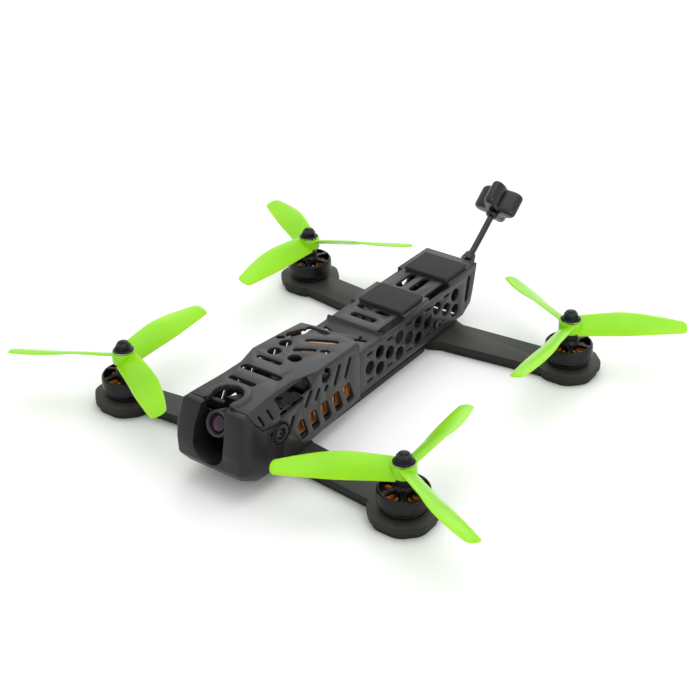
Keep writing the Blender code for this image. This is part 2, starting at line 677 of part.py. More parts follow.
def window_cutter(name, low_y, high_y):
    """The camera window: round at the bottom, narrowing to its open top, cut from the front."""
    top_z = CANOPY_FRONT_TOP
    outline = [(WINDOW_TOP_HALF, 70 * MM), (-WINDOW_TOP_HALF, 70 * MM), (-WINDOW_TOP_HALF, top_z),
               (-WINDOW_HALF, WINDOW_CENTRE + 10 * MM)]
    for step in range(11):
        angle = math.pi + math.pi * step / 10
        outline.append((WINDOW_HALF * math.cos(angle), WINDOW_CENTRE + WINDOW_HALF * math.sin(angle)))
    outline += [(WINDOW_HALF, WINDOW_CENTRE + 10 * MM), (WINDOW_TOP_HALF, top_z)]
    return prism(name, outline, low_y, high_y, axis="Y", collection=CUTTERS)


def side_openings():
    """Outlines (y, z) of the openings in both canopy sides."""
    outlines = []
    for k in range(5):
        y = CANOPY_FRONT_Y + 39.0 * MM + k * 10.5 * MM
        z = 20.3 * MM - 0.25 * MM * k
        lean, tall, wide = 2.2 * MM, 6.2 * MM, 3.2 * MM
        outlines.append(rounded([(y + lean - wide, z - tall), (y + lean + wide, z - tall),
                                 (y - lean + wide, z + tall), (y - lean - wide, z + tall)], 2.4 * MM, 2))
    slots = [
        ((-89.0, 38.0), (-72.0, 38.0), 1.5), ((-79.4, 31.4), (-83.4, 24.6), 1.3),
        ((-64.0, 38.0), (-68.4, 32.4), 1.4), ((-57.0, 35.4), (-59.4, 31.6), 1.3),
        ((-50.0, 33.4), (-50.6, 32.6), 1.5), ((-38.2, 39.4), (-42.4, 31.4), 1.4),
        ((-28.4, 38.8), (-32.4, 30.6), 1.4),
    ]
    for start, end, radius in slots:
        outlines.append(capsule([v * MM for v in start], [v * MM for v in end], radius * MM))
    hexagon = disc((-50.0 * MM, 40.4 * MM), 4.4 * MM, 6)
    outlines.append(hexagon)
    return outlines


def top_openings():
    """Outlines (x, y) of the openings in the canopy's top."""
    slots = [
        ((-9.8, -86.5), (3.4, -86.5), 1.7), ((-11.2, -74.2), (9.2, -74.2), 2.5),
        ((-11.8, -62.2), (1.0, -62.2), 1.6), ((-0.6, -46.2), (6.6, -41.4), 1.9),
        ((-1.4, -34.6), (10.6, -27.4), 1.8), ((-10.0, -22.8), (1.0, -22.8), 1.8),
        ((11.4, -38.8), (12.6, -38.0), 1.8), ((-17.0, -39.6), (-15.6, -38.8), 1.6),
        ((-13.4, -33.6), (-10.4, -27.4), 3.2),
    ]
    outlines = [capsule([v * MM for v in a], [v * MM for v in b], r * MM) for a, b, r in slots]
    for x, y, radius in ((-9.2, -53.4, 3.7), (4.0, -53.4, 3.7), (-9.8, -43.4, 3.6)):
        outlines.append(disc((x * MM, y * MM), radius * MM))
    return outlines


def shoulder_cutters():
    """Long slots and short slits through the sloping shoulder facets of the canopy, on both sides."""
    cutters = []
    lean = math.radians(SHOULDER_LEAN)
    for side in (1, -1):
        turn = Matrix.Rotation(side * lean, 4, "Y")
        for y, length, width, drop in SHOULDER_OPENINGS:
            centre = (side * (20.4 * MM + drop * MM), y * MM, 43.0 * MM - drop * MM)
            cutters.append(box("shoulder_cutter", (width * MM, length * MM, 14 * MM), centre,
                               collection=CUTTERS, rotation=turn))
    return cutters


def hatch_lip():
    """The raised lip around the camera hatch, as a low cone that the hatch is cut through."""
    top = CANOPY_FRONT_TOP
    lip = lathe("hatch_lip", [(0, top - MM), (HATCH_RADIUS + 4.6 * MM, top - MM),
                              (HATCH_RADIUS + 2.0 * MM, top + 1.3 * MM), (0, top + 1.3 * MM)], None, 20,
                closed=False)
    lip.data.transform(Matrix.Translation((0, HATCH_Y, 0)))
    return lip


def canopy(mats):
    shell = thicken(loft("front_canopy", canopy_sections(), mats["shell"]), SHELL)
    fuse(shell, hatch_lip())
    below = seam_line(0.0) + [(CANOPY_FRONT_Y - 20 * MM, -5 * MM), (CANOPY_FRONT_Y - 20 * MM, 70 * MM)]
    cutters = [
        prism("seam_cutter", below, -40 * MM, 40 * MM, axis="X", collection=CUTTERS),
        window_cutter("canopy_window", CANOPY_FRONT_Y - 20 * MM, HATCH_Y),
        cylinder("hatch_cutter", HATCH_RADIUS, 30 * MM, (0, HATCH_Y, CANOPY_FRONT_TOP), segments=24,
                 collection=CUTTERS),
    ]
    for outline in side_openings():
        cutters.append(prism("side_cutter", outline, -40 * MM, 40 * MM, axis="X", collection=CUTTERS))
    for outline in top_openings():
        cutters.append(prism("top_cutter", outline, CANOPY_REAR_TOP - 4 * MM, 70 * MM, collection=CUTTERS))
    return smooth(cut(shell, *cutters, *shoulder_cutters()), 25)


def nose_hull(mats):
    """The nose as a convex block: leaning front, bevelled corners and a chin."""
    top = CANOPY_FRONT_TOP
    rear_y = PIVOT_Y + BOSS_GROOVE + MM
    front = nose_front(WINDOW_BOTTOM)
    back_y = CANOPY_FRONT_Y + 8 * MM
    side, rear = canopy_half(back_y), canopy_half(rear_y)
    half = CANOPY_FRONT_HALF - 4.7 * MM          # flat of the front face
    bevel = 5.0 * MM                             # how far back the bevelled corner reaches
    middle = WINDOW_CENTRE + 8 * MM
    return convex("nose_bumper", mirrored([
        (half - 1.6 * MM, nose_front(top), top - 0.7 * MM), (half - 1.6 * MM, rear_y, top - 0.5 * MM),
        (half - 0.4 * MM, nose_front(top) - 0.2 * MM, top - 2.0 * MM),
        (side - 1.6 * MM, nose_front(top) + 3.4 * MM, top - 4.4 * MM),
        (half, nose_front(middle), middle), (half, front, WINDOW_CENTRE),
        (half - 0.4 * MM, front, WINDOW_BOTTOM),
        (side - 1.0 * MM, front + bevel, middle), (side - 0.8 * MM, front + bevel, WINDOW_BOTTOM),
        (half - 3.0 * MM, front + 4.4 * MM, NOSE_BOTTOM + 6.0 * MM),
        (side - 2.2 * MM, front + 6.6 * MM, NOSE_BOTTOM + 7.4 * MM),
        (half - 5.0 * MM, front + 10.5 * MM, NOSE_BOTTOM + 1.2 * MM),
        (side - 3.4 * MM, front + 12 * MM, NOSE_BOTTOM + 3.2 * MM),
        (side, back_y, top - 8 * MM), (side, back_y, NOSE_BOTTOM + 6.4 * MM),
        (rear, rear_y, top - 8 * MM), (rear, rear_y, BODY_BOTTOM),
        (half - 3.0 * MM, PIVOT_Y + 2 * MM, NOSE_BOTTOM),
    ]), mats["nose"])


def nose(mats):
    body = nose_hull(mats)
    side = canopy_half(CANOPY_FRONT_Y + 8 * MM)
    rear = canopy_half(PIVOT_Y + BOSS_GROOVE)
    shoulder = NOSE_BOTTOM + 9.5 * MM
    inside_front = PIVOT_Y - 12.0 * MM
    floor = NOSE_BOTTOM + 2.0 * MM
    low_half = CANOPY_FRONT_HALF - 9.8 * MM
    cavity = convex("nose_cavity", mirrored([
        (low_half, inside_front, floor), (low_half, -60 * MM, floor),
        (side - NOSE_WALL - 0.6 * MM, inside_front, shoulder + MM),
        (rear - NOSE_WALL, -60 * MM, shoulder + MM),
        (side - NOSE_WALL - 0.6 * MM, inside_front, 70 * MM), (rear - NOSE_WALL, -60 * MM, 70 * MM),
    ]), collection=CUTTERS)
    above = seam_line(-GAP) + [(10 * MM, -5 * MM), (10 * MM, 70 * MM)]
    arm_front = FRONT_ARM_ROOT_Y - FRONT_ARM_WIDTH / 2 - FRONT_GUSSET - GAP
    outer_side = canopy_half(PIVOT_Y)

    def boss_disc(name, radius, inner_end, outer_end, steps, collection=PARTS):
        return [cylinder(name, radius, outer_end - inner_end,
                         (sign * (inner_end + outer_end) / 2, PIVOT_Y, PIVOT_Z), "X", steps,
                         collection=collection) for sign in (1, -1)]

    fuse(body, *boss_disc("flange", BOSS_FLANGE, outer_side - 2 * MM, outer_side + 0.7 * MM, 28))
    cut(body, cavity,
        prism("nose_trim", above, -40 * MM, 40 * MM, axis="X", collection=CUTTERS),
        window_cutter("nose_window", CANOPY_FRONT_Y - 20 * MM, inside_front + MM),
        box("arm_room", (80 * MM, 40 * MM, 20 * MM), (0, arm_front + 20 * MM, BODY_BOTTOM - 10 * MM),
            collection=CUTTERS),
        *boss_disc("groove", BOSS_GROOVE, outer_side - 0.7 * MM, outer_side + 20 * MM, 24, CUTTERS))
    fuse(body, *boss_disc("boss", BOSS_RADIUS, CAMERA_SIDE / 2 + GAP, outer_side + 0.9 * MM, 20))
    return smooth(cut(body, *boss_disc("boss_bore", 1.5 * MM, 2 * MM, 40 * MM, 12, CUTTERS),
                      *boss_disc("boss_recess", 3.0 * MM, outer_side - 1.6 * MM, outer_side + 20 * MM, 16,
                                 CUTTERS)), 30)


# ---------------------------------------------------------------- tail pod and battery deck
def taper_pod(obj, wall=0.0):
    """Bring a straight block to the pod's width, which narrows towards the tail."""
    for vert in obj.data.vertices:
        vert.co.x *= (pod_half(vert.co.y) - wall) / POD_FRONT_HALF
    return obj


def pod_side_openings():
    outlines = []
    first_y = POD_STEP_Y - 2.3 * MM
    top_row = POD_TOP - 10.4 * MM
    half_pitch = LATTICE_PITCH / 2
    for k in range(5):
        y = first_y + k * LATTICE_PITCH
        outlines.append(disc((y, top_row), LATTICE_HOLE))
        outlines.append(disc((y - half_pitch, top_row - LATTICE_ROW), LATTICE_HOLE))
        if k != 3:
            outlines.append(disc((y, top_row - 2 * LATTICE_ROW), LATTICE_HOLE))
        dash = y - half_pitch
        outlines.append(capsule((dash - 2 * MM, top_row + 3.6 * MM), (dash + 2 * MM, top_row + 3.6 * MM),
                                0.7 * MM, 1))
        if k < 4:
            outlines.append(capsule((dash - 2 * MM, top_row - 12.8 * MM), (dash + 2 * MM,
                top_row - 12.8 * MM),
                                    0.7 * MM, 1))
    outlines.append(capsule((POD_REAR_Y - 9.2 * MM, POD_TOP - 6.2 * MM),
                            (POD_REAR_Y - 12.0 * MM, POD_TOP - 19.0 * MM), 1.5 * MM))
    return outlines


def pod_top_openings():
    slots = [((-6.2, 12.6), (6.2, 12.6), 2.2), ((-4.5, 54.5), (-4.5, 67.5), 2.4), ((4.5, 54.5),
        (4.5, 67.5), 2.4),
             ((-8.6, 22.4), (-3.8, 22.4), 2.2), ((3.8, 22.4), (8.6, 22.4), 2.2),
             ((8.0, -6.4), (13.2, -4.6), 1.0), ((10.2, -5.7), (8.6, -2.6), 0.9),
             ((-8.0, -6.4), (-13.2, -4.6), 1.0), ((-12.4, -12.0), (3.4, -12.0), 1.1)]
    return [capsule([v * MM for v in a], [v * MM for v in b], r * MM) for a, b, r in slots]


def tail_pod(mats):
    tab_top = POD_TOP - POD_STEP
    front = CANOPY_REAR_Y + GAP + 0.1 * MM
    outer = [
        (front, BODY_BOTTOM), (POD_REAR_Y - 14.6 * MM, BODY_BOTTOM), (POD_REAR_Y - 6.2 * MM,
        BODY_BOTTOM + 5 * MM),
        (POD_REAR_Y - 3.8 * MM, BODY_BOTTOM + 12.6 * MM), (POD_REAR_Y, POD_TOP), (POD_STEP_Y, POD_TOP),
        (POD_STEP_Y - 1.2 * MM, tab_top), (front, tab_top),
    ]
    pod = prism("tail_pod", outer, -POD_FRONT_HALF, POD_FRONT_HALF, axis="X", mat=mats["shell"])
    inner = [
        (front - 10 * MM, -MM), (POD_REAR_Y - 15.2 * MM, -MM), (POD_REAR_Y - 15.2 * MM, BODY_BOTTOM + MM),
        (POD_REAR_Y - 7.8 * MM, BODY_BOTTOM + 5.8 * MM), (POD_REAR_Y - 5.8 * MM, BODY_BOTTOM + 12.8 * MM),
        (POD_REAR_Y - 2.4 * MM, POD_TOP - SHELL), (POD_STEP_Y + SHELL, POD_TOP - SHELL),
        (POD_STEP_Y + 0.6 * MM, tab_top - SHELL), (front - 10 * MM, tab_top - SHELL),
    ]
    hollow = prism("pod_hollow", inner, -POD_FRONT_HALF, POD_FRONT_HALF, axis="X", collection=CUTTERS)
    bm = bmesh.new()
    bm.from_mesh(pod.data)
    vertical = [edge for edge in bm.edges
                if all(abs(abs(vert.co.x) - POD_FRONT_HALF) < 0.01 * MM and vert.co.z > tab_top - MM
                       for vert in edge.verts)]
    bmesh.ops.bevel(bm, geom=vertical, offset=1.2 * MM, segments=2, affect="EDGES")
    bm.to_mesh(pod.data)
    bm.free()
    taper_pod(pod)
    # in triangles because the tapered bevels are slightly twisted
    pod.modifiers.new("triangles", "TRIANGULATE")
    freeze(pod)
    taper_pod(hollow, SHELL)
    cutters = [hollow]
    for outline in pod_side_openings():
        cutters.append(prism("lattice_cutter", outline, -40 * MM, 40 * MM, axis="X", collection=CUTTERS))
    for outline in pod_top_openings():
        cutters.append(prism("deck_cutter", outline, tab_top - 4 * MM, 70 * MM, collection=CUTTERS))
    for side in (1, -1):
        cutters.append(cylinder("pod_screw_hole", 1.8 * MM, 30 * MM, (side * POD_REAR_HALF,
            screw_y(), screw_z()),
                                "X", 10, collection=CUTTERS))
        for y in (POD_STEP_Y + 11 * MM, POD_STEP_Y + 57 * MM):
            slot_x = pod_half(y) - STRAP_RIM - STRAP_SLOT / 2
            cutters.append(box("strap_cutter", (STRAP_SLOT, STRAP_LENGTH, 14 * MM),
                               (side * slot_x, y, POD_TOP + MM), collection=CUTTERS))
            sill_x = slot_x - STRAP_SLOT / 2 + 4.5 * MM
            cutters.append(box("strap_sill", (10 * MM, STRAP_LENGTH + 1.2 * MM, 10 * MM),
                               (side * sill_x, y, POD_TOP - STRAP_SILL + 5 * MM), collection=CUTTERS))
    exit_hole = cylinder("antenna_exit", STEM_RADIUS + 0.8 * MM, 16 * MM, (0, 0, 0), segments=12,
                         collection=CUTTERS)
    exit_hole.data.transform(along_antenna(antenna_exit(), STEM_PITCH))
    cutters.append(exit_hole)
    return smooth(cut(pod, *cutters), 30)


def screw_y():
    return POD_STEP_Y - 2.3 * MM + 3 * LATTICE_PITCH


def screw_z():
    return POD_TOP - 10.4 * MM - 2 * LATTICE_ROW


def battery_deck(mats):
    for name, y in (("battery_pad_front", FRONT_PAD_Y), ("battery_pad_rear", REAR_PAD_Y)):
        box(name, (BAT_PAD_WIDTH, BAT_PAD_LENGTH, BAT_PAD), (BAT_PAD_SHIFT, y, POD_TOP + GAP + BAT_PAD / 2),
            mats["rubber"], bevel=0.4 * MM)


def pod_fasteners(mats):
    y, z = screw_y(), screw_z()
    half = pod_half(y)
    cylinder("pod_spacer", 2.6 * MM, 2 * (half - SHELL - GAP), (0, y, z), "X", 12, mats["steel"])
    for name, side in (("pod_screw_left", 1), ("pod_screw_right", -1)):
        shank = cylinder(name, 1.4 * MM, SHELL + 0.6 * MM, (side * (half - SHELL / 2 + 0.3 * MM), y,
            z), "X", 12,
                         mats["steel"])
        head = cylinder("head", 2.8 * MM, 1.6 * MM, (side * (half + GAP + 0.8 * MM), y, z), "X", 16,
            mats["steel"])
        fuse(shank, head)
        socket = cylinder("socket", 1.1 * MM, 2 * MM, (side * (half + GAP + 1.9 * MM), y, z), "X", 6,
                          collection=CUTTERS)
        cut(shank, socket)


# ---------------------------------------------------------------- camera
def camera_frame():
    """Local frame on the tilt axis: +Z looks out of the lens and +Y is up."""
    turn = Matrix.Rotation(math.radians(90 - CAMERA_TILT), 4, "X")
    return Matrix.Translation((0, PIVOT_Y, PIVOT_Z)) @ turn


def camera(mats):
    frame = camera_frame()
    half = CAMERA_SIDE / 2
    body = box("camera_body", (CAMERA_SIDE, CAMERA_SIDE, 14 * MM), (0, 0, -1 * MM), mats["camera"],
               bevel=1.2 * MM)
    for side in (1, -1):
        cut(body, cylinder("pivot_hole", 1.0 * MM, 8 * MM, (side * (half + MM), 0, 0), "X", 10,
                           collection=CUTTERS))
    body.data.transform(frame)
    smooth(body, 30)
    low = 6 * MM + GAP
    barrel = lathe("lens_barrel", [
        (0, low), (LENS_RADIUS, low), (LENS_RADIUS, low + 3 * MM), (LENS_RADIUS - 0.7 * MM, low + 3.6 * MM),
        (LENS_RADIUS - 0.7 * MM, low + 5.4 * MM), (LENS_RADIUS, low + 6 * MM),
        (LENS_RADIUS, LENS_REACH - 0.5 * MM),
        (LENS_RADIUS - 0.5 * MM, LENS_REACH), (LENS_RADIUS - 1.2 * MM, LENS_REACH),
        (LENS_RADIUS - 2.2 * MM, LENS_REACH - 2.2 * MM), (0, LENS_REACH - 2.2 * MM)], mats["camera"], 20,
        closed=False)
    barrel.data.transform(frame)
    glass_low = LENS_REACH - 2.2 * MM + GAP
    radius = LENS_RADIUS - 2.6 * MM
    glass = lathe("lens_glass", [
        (0, glass_low), (radius, glass_low), (radius, glass_low + 0.4 * MM),
        (radius * 0.8, glass_low + 0.9 * MM),
        (radius * 0.45, glass_low + 1.3 * MM), (0, glass_low + 1.5 * MM)], mats["glass"], 16, closed=False)
    glass.data.transform(frame)
    for name, side in (("camera_screw_left", 1), ("camera_screw_right", -1)):
        seat = canopy_half(PIVOT_Y) - 1.6 * MM + GAP
        shank_end = half + 2 * GAP
        middle = side * (seat + 0.5 * MM + shank_end) / 2
        shank = cylinder(name, 1.2 * MM, seat - shank_end + 0.5 * MM, (middle, PIVOT_Y, PIVOT_Z), "X", 12,
                         mats["steel"])
        head = cylinder("head", 2.5 * MM, 1.7 * MM, (side * (seat + 0.85 * MM), PIVOT_Y, PIVOT_Z), "X", 16,
                        mats["steel"])
        fuse(shank, head)
        cut(shank, cylinder("socket", 1.1 * MM, 2 * MM, (side * (seat + 1.9 * MM), PIVOT_Y, PIVOT_Z), "X", 6,
                            collection=CUTTERS))


# ---------------------------------------------------------------- electronics
def electronics(mats):
    stack_y = CANOPY_FRONT_Y + 59 * MM
    bolt = 15.25 * MM
    post_radius = 1.5 * MM
    posts = []
    for number, (sx, sy) in enumerate(((1, -1), (-1, -1), (1, 1), (-1, 1)), start=1):
        spot = (sx * bolt, stack_y + sy * bolt)
        # each post is bolted up through the base plate
        low, high = BASE_TOP + GAP, BASE_TOP + 20 * MM
        cylinder(f"stack_post_{number}", post_radius, high - low, (*spot, (low + high) / 2), segments=10,
                 mat=mats["steel"])
        posts.append(spot)

    def board(name, size, centre, mat):
        plate = box(name, size, centre, mat)
        drills = [cylinder("drill", post_radius + GAP, 40 * MM, (*spot, centre[2]), segments=10,
                           collection=CUTTERS) for spot in posts]
        return cut(plate, *drills)

    board("esc_board", (36 * MM, 42 * MM, 1.6 * MM), (0, stack_y, BASE_TOP + 2.6 * MM), mats["board"])
    board("copper_heat_spreader", (35 * MM, 52 * MM, 7.5 * MM), (0, stack_y + MM, BASE_TOP + 8 * MM),
          mats["copper"])
    board("flight_controller", (36 * MM, 36 * MM, 1.6 * MM), (0, stack_y, BASE_TOP + 16 * MM), mats["board"])
    box("receiver", (13 * MM, 20 * MM, 4 * MM), (10.5 * MM, stack_y + 2 * MM, BASE_TOP + 23.4 * MM),
        mats["board"], bevel=0.6 * MM)
    box("tape_wrapped_regulator", (18 * MM, 21 * MM, 2.6 * MM),
        (-5 * MM, CANOPY_REAR_Y - 7 * MM, POD_TOP - POD_STEP + GAP + 1.3 * MM), mats["tape"], bevel=0.5 * MM)
    box("video_transmitter", (28 * MM, 34 * MM, 8 * MM), (0, POD_STEP_Y + 32 * MM, BASE_TOP + GAP + 4 * MM),
        mats["camera"], bevel=0.8 * MM)
    cylinder("capacitor", 5 * MM, 20 * MM, (-8 * MM, POD_STEP_Y - 4 * MM, BASE_TOP + GAP + 5 * MM), "Y", 16,
             mats["camera"])


# ---------------------------------------------------------------- antenna
def bezier(p0, p1, p2, p3, count):
    p0, p1, p2, p3 = (Vector(p) for p in (p0, p1, p2, p3))
    points = []
    for k in range(count + 1):
        t = k / count
        start = (1 - t) ** 3 * p0 + 3 * t * (1 - t) ** 2 * p1
        points.append(start + 3 * t ** 2 * (1 - t) * p2 + t ** 3 * p3)
    return points


def antenna_exit():
    """Where the stem passes through the pod's rear wall."""
    return Vector((ANTENNA_X, POD_REAR_Y, POD_TOP - 4.2 * MM))


def heading(pitch):
    angle = math.radians(pitch)
    return Vector((0, math.cos(angle), math.sin(angle)))


def along_antenna(point, pitch):
    """Carry something built along +Z onto a point of the stem."""
    return Matrix.Translation(point) @ Matrix.Rotation(math.radians(pitch - 90), 4, "X")


def antenna(mats):
    leave, arrive = heading(STEM_PITCH), heading(HEAD_PITCH)
    straight = antenna_exit() + leave * (BOOT_LENGTH + 5 * MM)
    end = antenna_exit() + heading((STEM_PITCH + HEAD_PITCH) / 2) * STEM_REACH
    curved = bezier(straight, straight + leave * 7 * MM, end - arrive * 7 * MM, end, 8)
    route = [antenna_exit() - leave * 4.5 * MM, *curved]
    curve = bpy.data.curves.new("antenna_stem", "CURVE")
    curve.dimensions = "3D"
    curve.bevel_depth = STEM_RADIUS
    curve.bevel_resolution = 2
    curve.use_fill_caps = True
    spline = curve.splines.new("POLY")
    spline.points.add(len(route) - 1)
    for item, point in zip(spline.points, route):
        item.co = (*point, 1)
    wire = bpy.data.objects.new("stem_curve", curve)
    bpy.context.scene.collection.objects.link(wire)
    bpy.context.view_layer.update()
    mesh = bpy.data.meshes.new_from_object(wire.evaluated_get(bpy.context.evaluated_depsgraph_get()))
    bpy.data.objects.remove(wire, do_unlink=True)
    bm = bmesh.new()
    bm.from_mesh(mesh)
    bmesh.ops.remove_doubles(bm, verts=bm.verts, dist=0.01 * MM)
    smooth(mesh_object("antenna_stem", bm, mats["antenna"]))
    bore = STEM_RADIUS + GAP
    boot = lathe("antenna_boot", [(bore, 0), (bore + 2.0 * MM, 0), (bore + 2.0 * MM, 1.2 * MM),
                                  (bore + 1.0 * MM, BOOT_LENGTH), (bore, BOOT_LENGTH)], mats["antenna"], 14)
    boot.data.transform(along_antenna(antenna_exit() + leave * 3.4 * MM, STEM_PITCH))
    collar_height = 3.2 * MM
    collar = lathe("antenna_collar", [(0, 0), (3.0 * MM, 0), (3.8 * MM, 0.8 * MM), (3.8 * MM, 2.4 * MM),
                                      (2.6 * MM, collar_height), (0, collar_height)], mats["antenna"], 20,
                   closed=False)
    collar.data.transform(along_antenna(end + arrive * GAP, HEAD_PITCH))
    outline = []
    steps = 32
    for k in range(steps):
        angle = 2 * math.pi * (k + 0.5) / steps
        radius = HEAD_RADIUS * (0.76 + 0.24 * math.cos(4 * angle))
        outline.append((radius * math.cos(angle), radius * math.sin(angle)))
    head = prism("antenna_head", outline, 0.0, HEAD_HEIGHT, mat=mats["antenna"])
    bevel = head.modifiers.new("edges", "BEVEL")
    bevel.width = 1.6 * MM
    bevel.segments = 1
    bevel.limit_method = "ANGLE"
    freeze(head)
    head.data.transform(along_antenna(end + arrive * (collar_height + 2 * GAP), HEAD_PITCH))
    smooth(head, 40)


def main():
    clear_scene()
    mats = materials()
    arms(mats)
    plates(mats)
    motors(mats)
    nose(mats)
    canopy(mats)
    tail_pod(mats)
    battery_deck(mats)
    pod_fasteners(mats)
    camera(mats)
    electronics(mats)
    antenna(mats)


main()
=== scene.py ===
"""Looks of a five-inch quadcopter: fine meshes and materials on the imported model's frame.

The nose points along -Y, the aircraft's left side is +X and it stands on Z = 0. Lengths are metres.
"""
import json
import math

import bmesh
import bpy
from mathutils import Matrix, Vector


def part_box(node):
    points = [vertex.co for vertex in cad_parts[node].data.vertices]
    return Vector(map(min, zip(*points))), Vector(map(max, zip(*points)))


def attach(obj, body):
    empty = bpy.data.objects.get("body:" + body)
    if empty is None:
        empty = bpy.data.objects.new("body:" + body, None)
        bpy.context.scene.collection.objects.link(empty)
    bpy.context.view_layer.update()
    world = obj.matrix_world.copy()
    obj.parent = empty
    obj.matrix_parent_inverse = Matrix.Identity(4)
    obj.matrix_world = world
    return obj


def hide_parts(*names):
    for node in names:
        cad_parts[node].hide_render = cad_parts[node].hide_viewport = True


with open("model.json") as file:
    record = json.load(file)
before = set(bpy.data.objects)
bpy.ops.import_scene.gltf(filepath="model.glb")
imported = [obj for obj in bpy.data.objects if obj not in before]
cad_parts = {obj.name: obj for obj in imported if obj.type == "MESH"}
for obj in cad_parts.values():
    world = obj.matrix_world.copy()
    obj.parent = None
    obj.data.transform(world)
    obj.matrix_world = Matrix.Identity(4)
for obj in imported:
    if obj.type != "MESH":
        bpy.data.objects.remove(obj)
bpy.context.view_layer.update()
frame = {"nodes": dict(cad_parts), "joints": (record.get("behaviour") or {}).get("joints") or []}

# ---------------------------------------------------------------- sizes, read from the frame where possible
MM = 0.001
GAP = 0.3 * MM
AIRFRAME = "airframe"

ARM_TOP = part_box("front_arm_upper")[1].z
ARM_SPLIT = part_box("front_arm_lower")[1].z
BODY_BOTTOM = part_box("tail_pod")[0].z
NOSE_REACH = 7.6 * MM             # the nose bulges this far ahead of the canopy's front
CANOPY_FRONT_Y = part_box("nose_bumper")[0].y + NOSE_REACH
NOSE_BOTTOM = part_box("nose_bumper")[0].z
CANOPY_REAR_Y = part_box("front_canopy")[1].y
POD_REAR_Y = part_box("tail_pod")[1].y
POD_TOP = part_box("tail_pod")[1].z
SHELL = 1.8 * MM                  # wall of the canopy and the pod
FOLD_RADIUS = 1.3 * MM            # where the canopy's faces meet
NOSE_WALL = 2.2 * MM
HATCH_RADIUS = 8.0 * MM
WINDOW_TOP_HALF = 7.0 * MM        # camera window, half its width at the top
WINDOW_HALF = 9.4 * MM            # and at its round bottom
WINDOW_BOTTOM = 17.0 * MM
WINDOW_CENTRE = 26.4 * MM
BOSS_RADIUS = 5.2 * MM            # around the tilt screw
BOSS_GROOVE = 6.0 * MM
BOSS_FLANGE = 8.2 * MM
HATCH_Y = CANOPY_FRONT_Y + 10.0 * MM
CANOPY_FRONT_HALF = 24.3 * MM
CANOPY_REAR_HALF = 20.0 * MM
CANOPY_REAR_TOP = 44.4 * MM
CANOPY_FRONT_TOP = 47.6 * MM
POD_FRONT_HALF = 18.6 * MM
POD_REAR_HALF = 17.6 * MM
POD_STEP_Y = 4.0 * MM             # front edge of the raised deck
POD_STEP = 2.4 * MM
LATTICE_PITCH = 19.0 * MM
LATTICE_ROW = 5.1 * MM
LATTICE_HOLE = 3.9 * MM
STRAP_SLOT = 2.0 * MM
STRAP_RIM = 1.4 * MM
STRAP_SILL = 2.8 * MM
STRAP_LENGTH = 20.0 * MM
TILT_JOINT = next(joint for joint in frame["joints"] if joint["name"] == "camera_tilt")
PIVOT_Y, PIVOT_Z = TILT_JOINT["pos_m"][1:]
CAMERA_TILT = 22.0                # degrees, upwards, as it stands
CAMERA_SIDE = 19.0 * MM
LENS_RADIUS = 6.9 * MM
LENS_REACH = 21.5 * MM
FRONT_ARM_ROOT_Y = -72.5 * MM
REAR_ARM_ROOT_Y = 70.2 * MM
FRONT_ARM_WIDTH = 19.0 * MM
REAR_ARM_WIDTH = 23.5 * MM
FRONT_ARM_SWEEP = 2.5 * MM
REAR_ARM_SWEEP = 4.6 * MM
FRONT_GUSSET = 4.5 * MM
REAR_GUSSET = 3.5 * MM
ARM_TAPER = 1.2 * MM
ARM_INSET = 1.6 * MM
PAD_RADIUS = 17.2 * MM
PAD_ROUNDING = 10.0 * MM
MOTOR_BOLT_CIRCLE = 8.0 * MM

PROP_RADIUS = 63.5 * MM
PROP_HUB_RADIUS = 6.4 * MM
PROP_HUB_HEIGHT = 6.6 * MM
PROP_HUB_TOP = 32.7 * MM
PROP_PITCH = 110.0 * MM
BELL_RADIUS = 13.3 * MM
BELL_WALL = 1.3 * MM
BELL_HUB_RADIUS = 4.6 * MM
BELL_BOTTOM = 11.1 * MM
BELL_TOP = 18.9 * MM
SPOKE_COUNT = 6
SHAFT_RADIUS = 2.5 * MM
STATOR_TEETH = 12
NUT_HEIGHT = 5.7 * MM
LEAD_RADIUS = 1.0 * MM
LEAD_COUNT = 12

ANTENNA_X = 9.0 * MM
STEM_RADIUS = 1.9 * MM
STEM_PITCH = 33.0                 # degrees above level where the stem leaves the pod
HEAD_PITCH = 37.0                 # and at the head
STEM_REACH = 34.0 * MM
BOOT_LENGTH = 5.0 * MM
HEAD_RADIUS = 13.6 * MM
HEAD_HEIGHT = 15.0 * MM

MOTORS = {joint["name"].replace("rotor_spin_", ""): Vector((*joint["pos_m"][:2], 0.0))
          for joint in frame["joints"] if joint["name"].startswith("rotor_spin_")}
SPIN = {"front_left": -1, "front_right": 1, "rear_left": 1, "rear_right": -1}     # 1 is anticlockwise
FIRST_BLADE = {"front_left": 93.7, "front_right": 89.3, "rear_left": 32.0, "rear_right": 29.9}


# ---------------------------------------------------------------- node materials
def new_material(name, colour, roughness, metallic=0.0, **sockets):
    mat = bpy.data.materials.new(name)
    mat.use_nodes = True
    shader = mat.node_tree.nodes["Principled BSDF"]
    shader.inputs["Base Color"].default_value = (*colour, 1.0)
    shader.inputs["Roughness"].default_value = roughness
    shader.inputs["Metallic"].default_value = metallic
    for key, value in sockets.items():
        shader.inputs[key.replace("_", " ")].default_value = value
    return mat


def add_node(mat, kind, values=None, **settings):
    node = mat.node_tree.nodes.new(kind)
    for key, value in settings.items():
        setattr(node, key, value)
    for key, value in (values or {}).items():
        node.inputs[key].default_value = value
    return node


def connect(mat, source, target):
    mat.node_tree.links.new(source, target)


def shader_of(mat):
    return mat.node_tree.nodes["Principled BSDF"]


